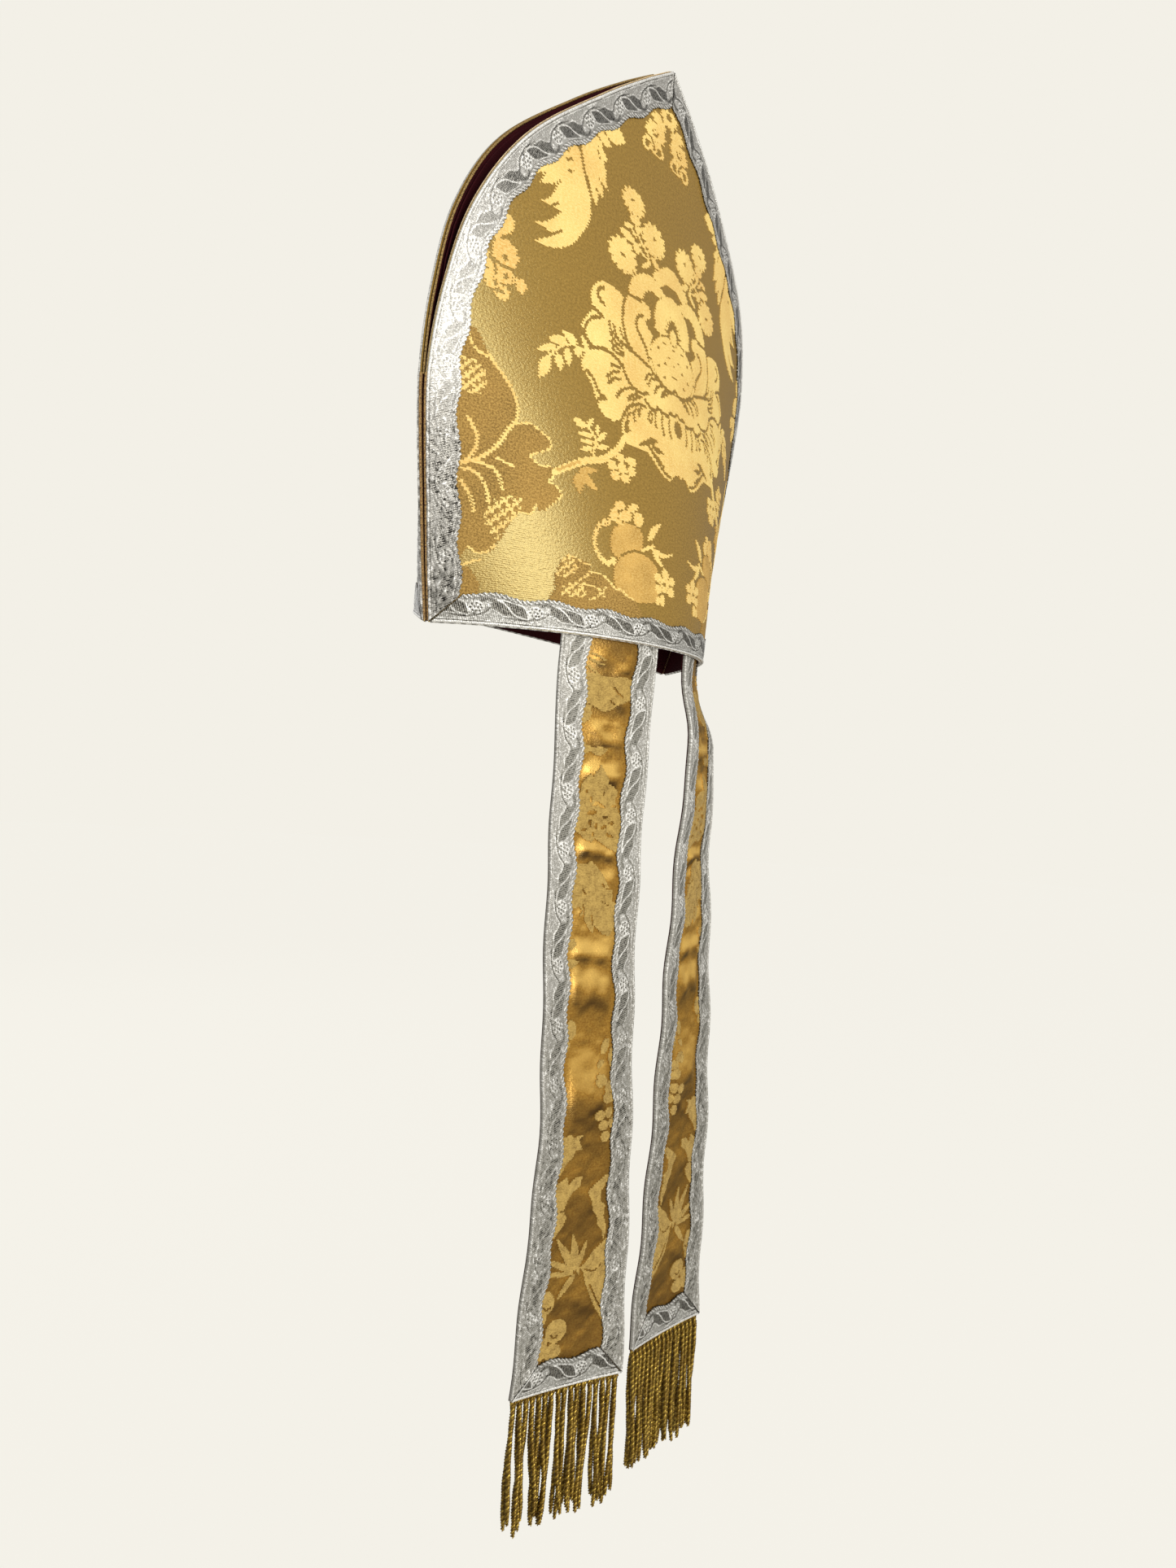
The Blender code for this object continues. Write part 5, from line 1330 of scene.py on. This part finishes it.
def makeStrip(name, foot):  # the brocade, with a tone that says how far it leans to the light, painted into its colour as highlight and shade
    half = lappets["cloth"] / 2
    tucked = np.linspace(-lappets["tuck"], 0, lappetLook["tuckRows"])[:-1]
    drop = np.concatenate([tucked, np.linspace(0, foot, lappetLook["rows"])])[:, None]
    part, drop = np.broadcast_arrays(np.linspace(-1, 1, lappetLook["columns"])[None, :], drop)
    swell, over = lappetSwell(name, part, drop), lappetLook["slopeOver"]
    slope = (lappetSwell(name, part, drop + over) - lappetSwell(name, part, drop - over)) / (2 * over)
    slope = np.where(slope < 0, lappetLook["shadeLean"] * slope, slope)
    # where the cloth faces up its tone is painted lighter, as a highlight, and where it faces down darker, as
    # shade
    tone = np.clip(lappetLook["evenTone"] + lappetLook["leanTone"] * slope
                   + np.interp(drop, *np.transpose(lappetLook["tones"])), 0, 1)
    within = part * (1 - lappetLook["edgeIn"] / lappetHalf(name, drop))
    outside = lappetPoint(name, within, drop, half + swell)
    inside = lappetPoint(name, within, drop, half - lappetLook["cloth"] + swell)
    return addSheet(f"lappet_{name}_brocade", outside, inside, lappetFlat(name, part, drop),
                    cloths["lappetSatin"], "brocade", tone, (f"lappet_{name}",))


def makeStripLining(name, foot):
    drop = np.linspace(-lappets["tuck"], foot, lappetLook["liningRows"])[:, None]
    part, drop = np.broadcast_arrays(np.linspace(-1, 1, lappetLook["liningColumns"])[None, :], drop)
    within = part * (1 - lappetLook["liningInset"] / lappetHalf(name, drop))
    outside = lappetPoint(name, within, drop, lappetLook["liningAt"])
    inside = lappetPoint(name, within, drop, -lappets["cloth"] / 2)
    return addSheet(f"lappet_{name}_lining", outside, inside, lappetFlat(name, part, drop),
                    cloths["burgundyCloth"], "burgundy_cloth")


def makeStripFlowers(name):
    def place(metres, rise):
        across, down = metres.T
        wide = lappetHalf(name, down)
        room = wide - lappetLook["bandWidth"] + lappetLook["sewnOver"] - np.abs(across)
        # the galloon is sewn down over it
        flattened = np.clip(room / lappetLook["flattenedOver"], lappetLook["flattest"], 1)
        out = lappets["cloth"] / 2 + lappetSwell(name, across / wide, down) + rise * flattened
        return lappetPoint(name, across / wide, down, out)

    points, faces, flat = motifMesh(lappetDesign(name), 1, place, brocade["stripRise"])
    return addPiece(f"lappet_{name}_flowers", points, faces, flat, cloths["lappetFlowers"],
                    sharp=35)


def makeTrims(name, foot):  # galloon down both sides and along the foot, mitred at the corners
    half, inset, gap = lappets["cloth"] / 2, lappetLook["trimInset"], lappetLook["trimGap"]
    step, bottom, trims = galloon["step"], foot - inset, []
    (first, last), fade = lappetLook["trimEnds"], lappetLook["fadeOver"]
    down = np.linspace(first, bottom - last, round((bottom - first - last) / step))
    crumple = lappetLook["crushed"] * ease((down - lappetLook["crushedFrom"]) / fade)
    # a painted sheen, near the top of the lappet's bands
    bright = lappetLook["paintedSheen"] * ease((lappetLook["paintedSheenTo"] - down) / fade)
    for label, side, start in zip(("outer", "inner"), (1, -1), galloon["startSides"]):
        s = side * down * 1000 + start
        width = np.maximum(np.minimum(galloonWidth(s) / 1000, bottom - down - gap), galloon["narrowest"])

        def placeSide(reach, out, side=side):
            part = side * (1 - (inset + reach) / lappetHalf(name, down)[:, None])
            return lappetPoint(name, part, down[:, None], half + out)

        trims.append(makeGalloon(
            f"lappet_{name}_galloon_{label}", "lappet", s, width, placeSide,
            (f"lappet_{name}_trim",) if side > 0 else (), crumple, bright, galloon["wrap"]))
    halfFoot = lappets[name]["width"][-1] / 2
    end = halfFoot - inset - lappetLook["footEnds"]
    along = np.linspace(-end, end, round(2 * end / step))
    s = -along * 1000 + galloon["startFoot"]
    width = np.minimum(galloonWidth(s) / 1000, halfFoot - inset - np.abs(along) - gap)

    def placeFoot(reach, out):
        return lappetPoint(name, along[:, None] / halfFoot, bottom - reach, half + out)

    # one of the foot's mitres is painted light as a highlight on its fold, the other dark as shade
    trims.append(makeGalloon(f"lappet_{name}_galloon_foot", "rim", s, width, placeFoot, (),
                             wrap=galloon["wrap"], fold=(along > 0).astype(float)))
    return trims


def makeLappet(name):
    foot = float(lappets[name]["at"][-1])
    strip, back, motif = makeStrip(name, foot), makeStripLining(name, foot), makeStripFlowers(name)
    trims = makeTrims(name, foot)
    fringe = makeFringe(name, foot)
    print(name, "lappet hung")


# the bullion fringes: the cords' lengths in millimetres, in turn, and the other sizes in metres
fringeLook = {
    "inset": 0.0012, "cords": 34, "radius": 0.00148, "ply": 0.56, "lay": 0.0030, "sides": 5, "step": 0.0007,
    "taperOver": 0.007, "headRadius": 0.0011, "headUp": 0.0016, "headSteps": 120, "clump": 0.5,
    "sway": 0.0015, "swayTurns": 4.2, "drift": 0.0020, "alternate": 0.0014, "stray": 0.0016,
    "sewnIn": 0.0012, "tip": 0.35, "plyGirth": 0.003,
    "glints": (700, 2000), "lengths": (64, 68, 70, 66, 71, 67, 69, 70, 65, 69, 71, 68, 64, 70),
    # how many cords hang together, clump by clump
    "clumps": {"left": (1, 4, 3, 4, 4, 4, 4, 4, 4, 2), "right": (2, 4, 3, 4, 4, 4, 3, 3, 4, 3)},
    "starts": {"left": (0.4, 3), "right": (2.0, 0)}}  # so that the two fringes don't match


def twistedCord(path, radius, turnStart):  # two plies wound round each other
    normal, other = carriedAxes(path)
    travelled, sides, share = lengthAlong(path), fringeLook["sides"], fringeLook["ply"]
    left = np.clip((travelled[-1] - travelled) / fringeLook["taperOver"], 0, 1)
    taper = fringeLook["tip"] + (1 - fringeLook["tip"]) * np.sqrt(left)
    girth = np.tile(np.arange(sides) / sides, len(path)) * fringeLook["plyGirth"]
    onward = np.repeat(travelled, sides) + turnStart * 0.01
    plies = []
    for ply in range(2):
        angle = (math.tau * travelled / fringeLook["lay"] + turnStart + math.pi * ply)[:, None]
        wound = path + radius * (1 - share) * 1.1 * (normal * np.cos(angle) + other * np.sin(angle))
        points, faces = tubeMesh(wound, radius * share * taper, sides)
        plies.append((points, faces, np.stack([girth, onward, np.full(len(onward), ply * 0.5)], -1)))
    return plies


def makeFringe(name, foot):
    rows, look, count = lappets[name], fringeLook, fringeLook["cords"]
    width, turn = rows["width"][-1], math.radians(rows["turn"][-1])
    facing = np.array([math.sin(turn), math.cos(turn), 0])
    sideways = np.array([math.cos(turn), -math.sin(turn), 0])
    half = width / 2 - look["inset"]
    shift, first = look["starts"][name]
    clumps = np.repeat(np.arange(len(look["clumps"][name])), look["clumps"][name])
    plies = []
    for i, clump in enumerate(clumps):
        across = -half + 2 * half * (i + 0.5) / count
        gathered = -half + 2 * half * (np.flatnonzero(clumps == clump).mean() + 0.5) / count
        length = look["lengths"][(i * 5 + first) % len(look["lengths"])] / 1000
        t = np.linspace(0, 1, max(int(length / look["step"]), 8))
        pull = (gathered - across) * look["clump"] * ease(t * 1.15)
        drift = look["drift"] * math.sin(clump * 2.3 + shift) * t ** 1.4
        waves = look["sway"] * np.sin(t * (look["swayTurns"] + i % 3) + i * 1.9 + shift) * t ** 0.7
        lift = look["alternate"] * (1 if i % 2 else -1) * ease(t * 9)
        lift = lift + look["stray"] * math.sin(i * 1.7 + shift) * t ** 1.5 + 0.6 * waves[::-1] * t
        path = lappetPoint(name, 2 * across / width, foot) + sideways * (pull + drift + waves)[:, None]
        path = path + facing * lift[:, None] - np.array([0, 0, 1]) * (t * length - look["sewnIn"])[:, None]
        plies += twistedCord(path, look["radius"], i * 1.3)
    across = np.linspace(-half, half, look["headSteps"])
    head = lappetPoint(name, 2 * across / width, foot) + np.array([0, 0, look["headUp"]])
    plies += twistedCord(head, look["headRadius"], 0.0)
    faces, start = [], 0
    for points, rounds, _ in plies:  # one mesh of them all
        faces += [tuple(v + start for v in face) for face in rounds]
        start += len(points)
    flat = np.concatenate([ply[2] for ply in plies])
    # painted glints: stripes of highlight that wind along each cord
    along, across = look["glints"]
    glint = ease(np.sin(flat[:, 1] * along + flat[:, 0] * across) * 2.0 - 1.0)
    return addPiece(f"fringe_{name}_cords", np.concatenate([ply[0] for ply in plies]), faces, flat, bullion,
                    glint, (f"fringe_{name}",), sharp=80)


design = panelDesign()
print("brocade drawn:", int((design["weave"] > 0).sum()), "cells")
makePanel("back", 1, design)
makePanel("front", -1, design)
makePanelGalloons("back", 1, galloon["step"])
makePanelGalloons("front", -1, galloon["coarseStep"])
makeInnerFold()
makeLappet("left")
makeLappet("right")

# the pale room that the mitre is seen in
studio = {
    "floorZ": -0.62, "rings": (1.0, 3.0, 9.0), "ringSides": 96, "backdrop": "F3F0E7", "mirrored": 0.20,
    "floorGlow": 0.978, "floorLight": 0.88, "worldColour": (0.96, 0.97, 1.0), "worldLight": 0.27,
    "lights": (  # azimuth from +Y towards +X, height, distance, width, tall, watts, colour
        (26.0, 0.30, 1.9, 1.15, 1.9, 36.0, (1.0, 0.985, 0.95)),
        (110.0, 0.6, 2.2, 1.4, 1.6, 6.0, (1.0, 0.99, 0.97)),
        (-4.0, 2.1, 1.5, 0.7, 0.5, 8.0, (1.0, 0.98, 0.94)),
        (200.0, 0.9, 2.4, 1.6, 1.6, 12.0, (1.0, 1.0, 1.0))),
    "aim": (0.0, 0.0, 0.0)}


def dimmed(light, share):
    return (*[c * share for c in light[:3]], 1.0)


def makeFloor():  # a disc that glows like the backdrop to the camera, and dimly in the silver
    made, tree, shader = newMaterial("paleFloor", 0.9, 0.0)
    shader.inputs["Emission Strength"].default_value = 1.0
    ray = put(tree, "ShaderNodeLightPath").outputs
    bright, lit, dim = (dimmed(colour(studio["backdrop"]), studio[share])
                        for share in ("floorGlow", "floorLight", "mirrored"))
    glow = mixed(tree, ray["Is Camera Ray"], mixed(tree, ray["Is Glossy Ray"], lit, dim), bright)
    tree.links.new(glow, shader.inputs["Emission Color"])
    spots = put(tree, "ShaderNodeTexNoise", {"Scale": 3.0}).outputs[0]
    tree.links.new(mixed(tree, sums(tree, "MULTIPLY", spots, 0.1), colour("2A2926"), colour("34332F")),
                   shader.inputs["Base Color"])
    count, low = studio["ringSides"], studio["floorZ"]
    points, faces = [(0.0, 0.0, low)], [(0, 1 + k, 1 + (k + 1) % count) for k in range(count)]
    for ring in studio["rings"]:
        points += [(ring * math.cos(k * math.tau / count), ring * math.sin(k * math.tau / count), low)
                   for k in range(count)]
    for a in range(1, 1 + (len(studio["rings"]) - 1) * count, count):
        b = a + count
        faces += [(a + k, b + k, b + (k + 1) % count, a + (k + 1) % count) for k in range(count)]
    mesh = bpy.data.meshes.new("floor")
    mesh.from_pydata(points, [], faces)
    mesh.materials.append(made)
    floor = bpy.data.objects.new("floor", mesh)
    bpy.context.scene.collection.objects.link(floor)


def makeLights():
    for number, (azimuth, height, distance, wide, tall, watts, tint) in enumerate(studio["lights"]):
        lamp = bpy.data.lights.new(f"softbox{number}", "AREA")
        lamp.shape, lamp.size, lamp.size_y, lamp.energy, lamp.color = "RECTANGLE", wide, tall, watts, tint
        thing = bpy.data.objects.new(f"softbox{number}", lamp)
        a = math.radians(azimuth)
        spot = Vector((distance * math.sin(a), distance * math.cos(a), height))
        thing.location = spot
        thing.rotation_euler = (Vector(studio["aim"]) - spot).to_track_quat("-Z", "Y").to_euler()
        bpy.context.scene.collection.objects.link(thing)
    world = bpy.data.worlds.new("paleRoom")
    world.use_nodes = True
    tree = world.node_tree
    ray = put(tree, "ShaderNodeLightPath").outputs
    lit, dim = (dimmed(studio["worldColour"], studio[share]) for share in ("worldLight", "mirrored"))
    unseen = mixed(tree, ray["Is Glossy Ray"], lit, dim)
    tree.links.new(mixed(tree, ray["Is Camera Ray"], unseen, colour(studio["backdrop"])),
                   tree.nodes["Background"].inputs["Color"])
    bpy.context.scene.world = world
    bpy.context.scene.view_settings.view_transform = "Standard"


# the camera that was fitted to the photo's outlines
photoView = {"azimuth": 56.3794, "distance": 0.690197, "aside": 0.019876, "height": -0.076226,
             "roll": 3.6068, "lens": 27.033, "sensor": 36.0, "nearest": 0.01, "farthest": 60}


def makeCamera():
    azimuth, roll = math.radians(photoView["azimuth"]), math.radians(photoView["roll"])
    back = Vector((math.sin(azimuth), math.cos(azimuth), 0))
    right = Vector((-math.cos(azimuth), math.sin(azimuth), 0))
    up = Vector((0, 0, 1))
    lens = bpy.data.cameras.new("camera")
    lens.lens, lens.sensor_width, lens.sensor_fit = photoView["lens"], photoView["sensor"], "AUTO"
    lens.clip_start, lens.clip_end = photoView["nearest"], photoView["farthest"]
    camera = bpy.data.objects.new("camera", lens)
    turned = Matrix((math.cos(roll) * right + math.sin(roll) * up,
                     -math.sin(roll) * right + math.cos(roll) * up, back)).transposed()
    spot = back * photoView["distance"] + right * photoView["aside"] + up * photoView["height"]
    camera.matrix_world = Matrix.Translation(spot) @ turned.to_4x4()
    bpy.context.scene.collection.objects.link(camera)
    bpy.context.scene.camera = camera


makeFloor()
makeLights()
makeCamera()
print("floor, lights and camera set")
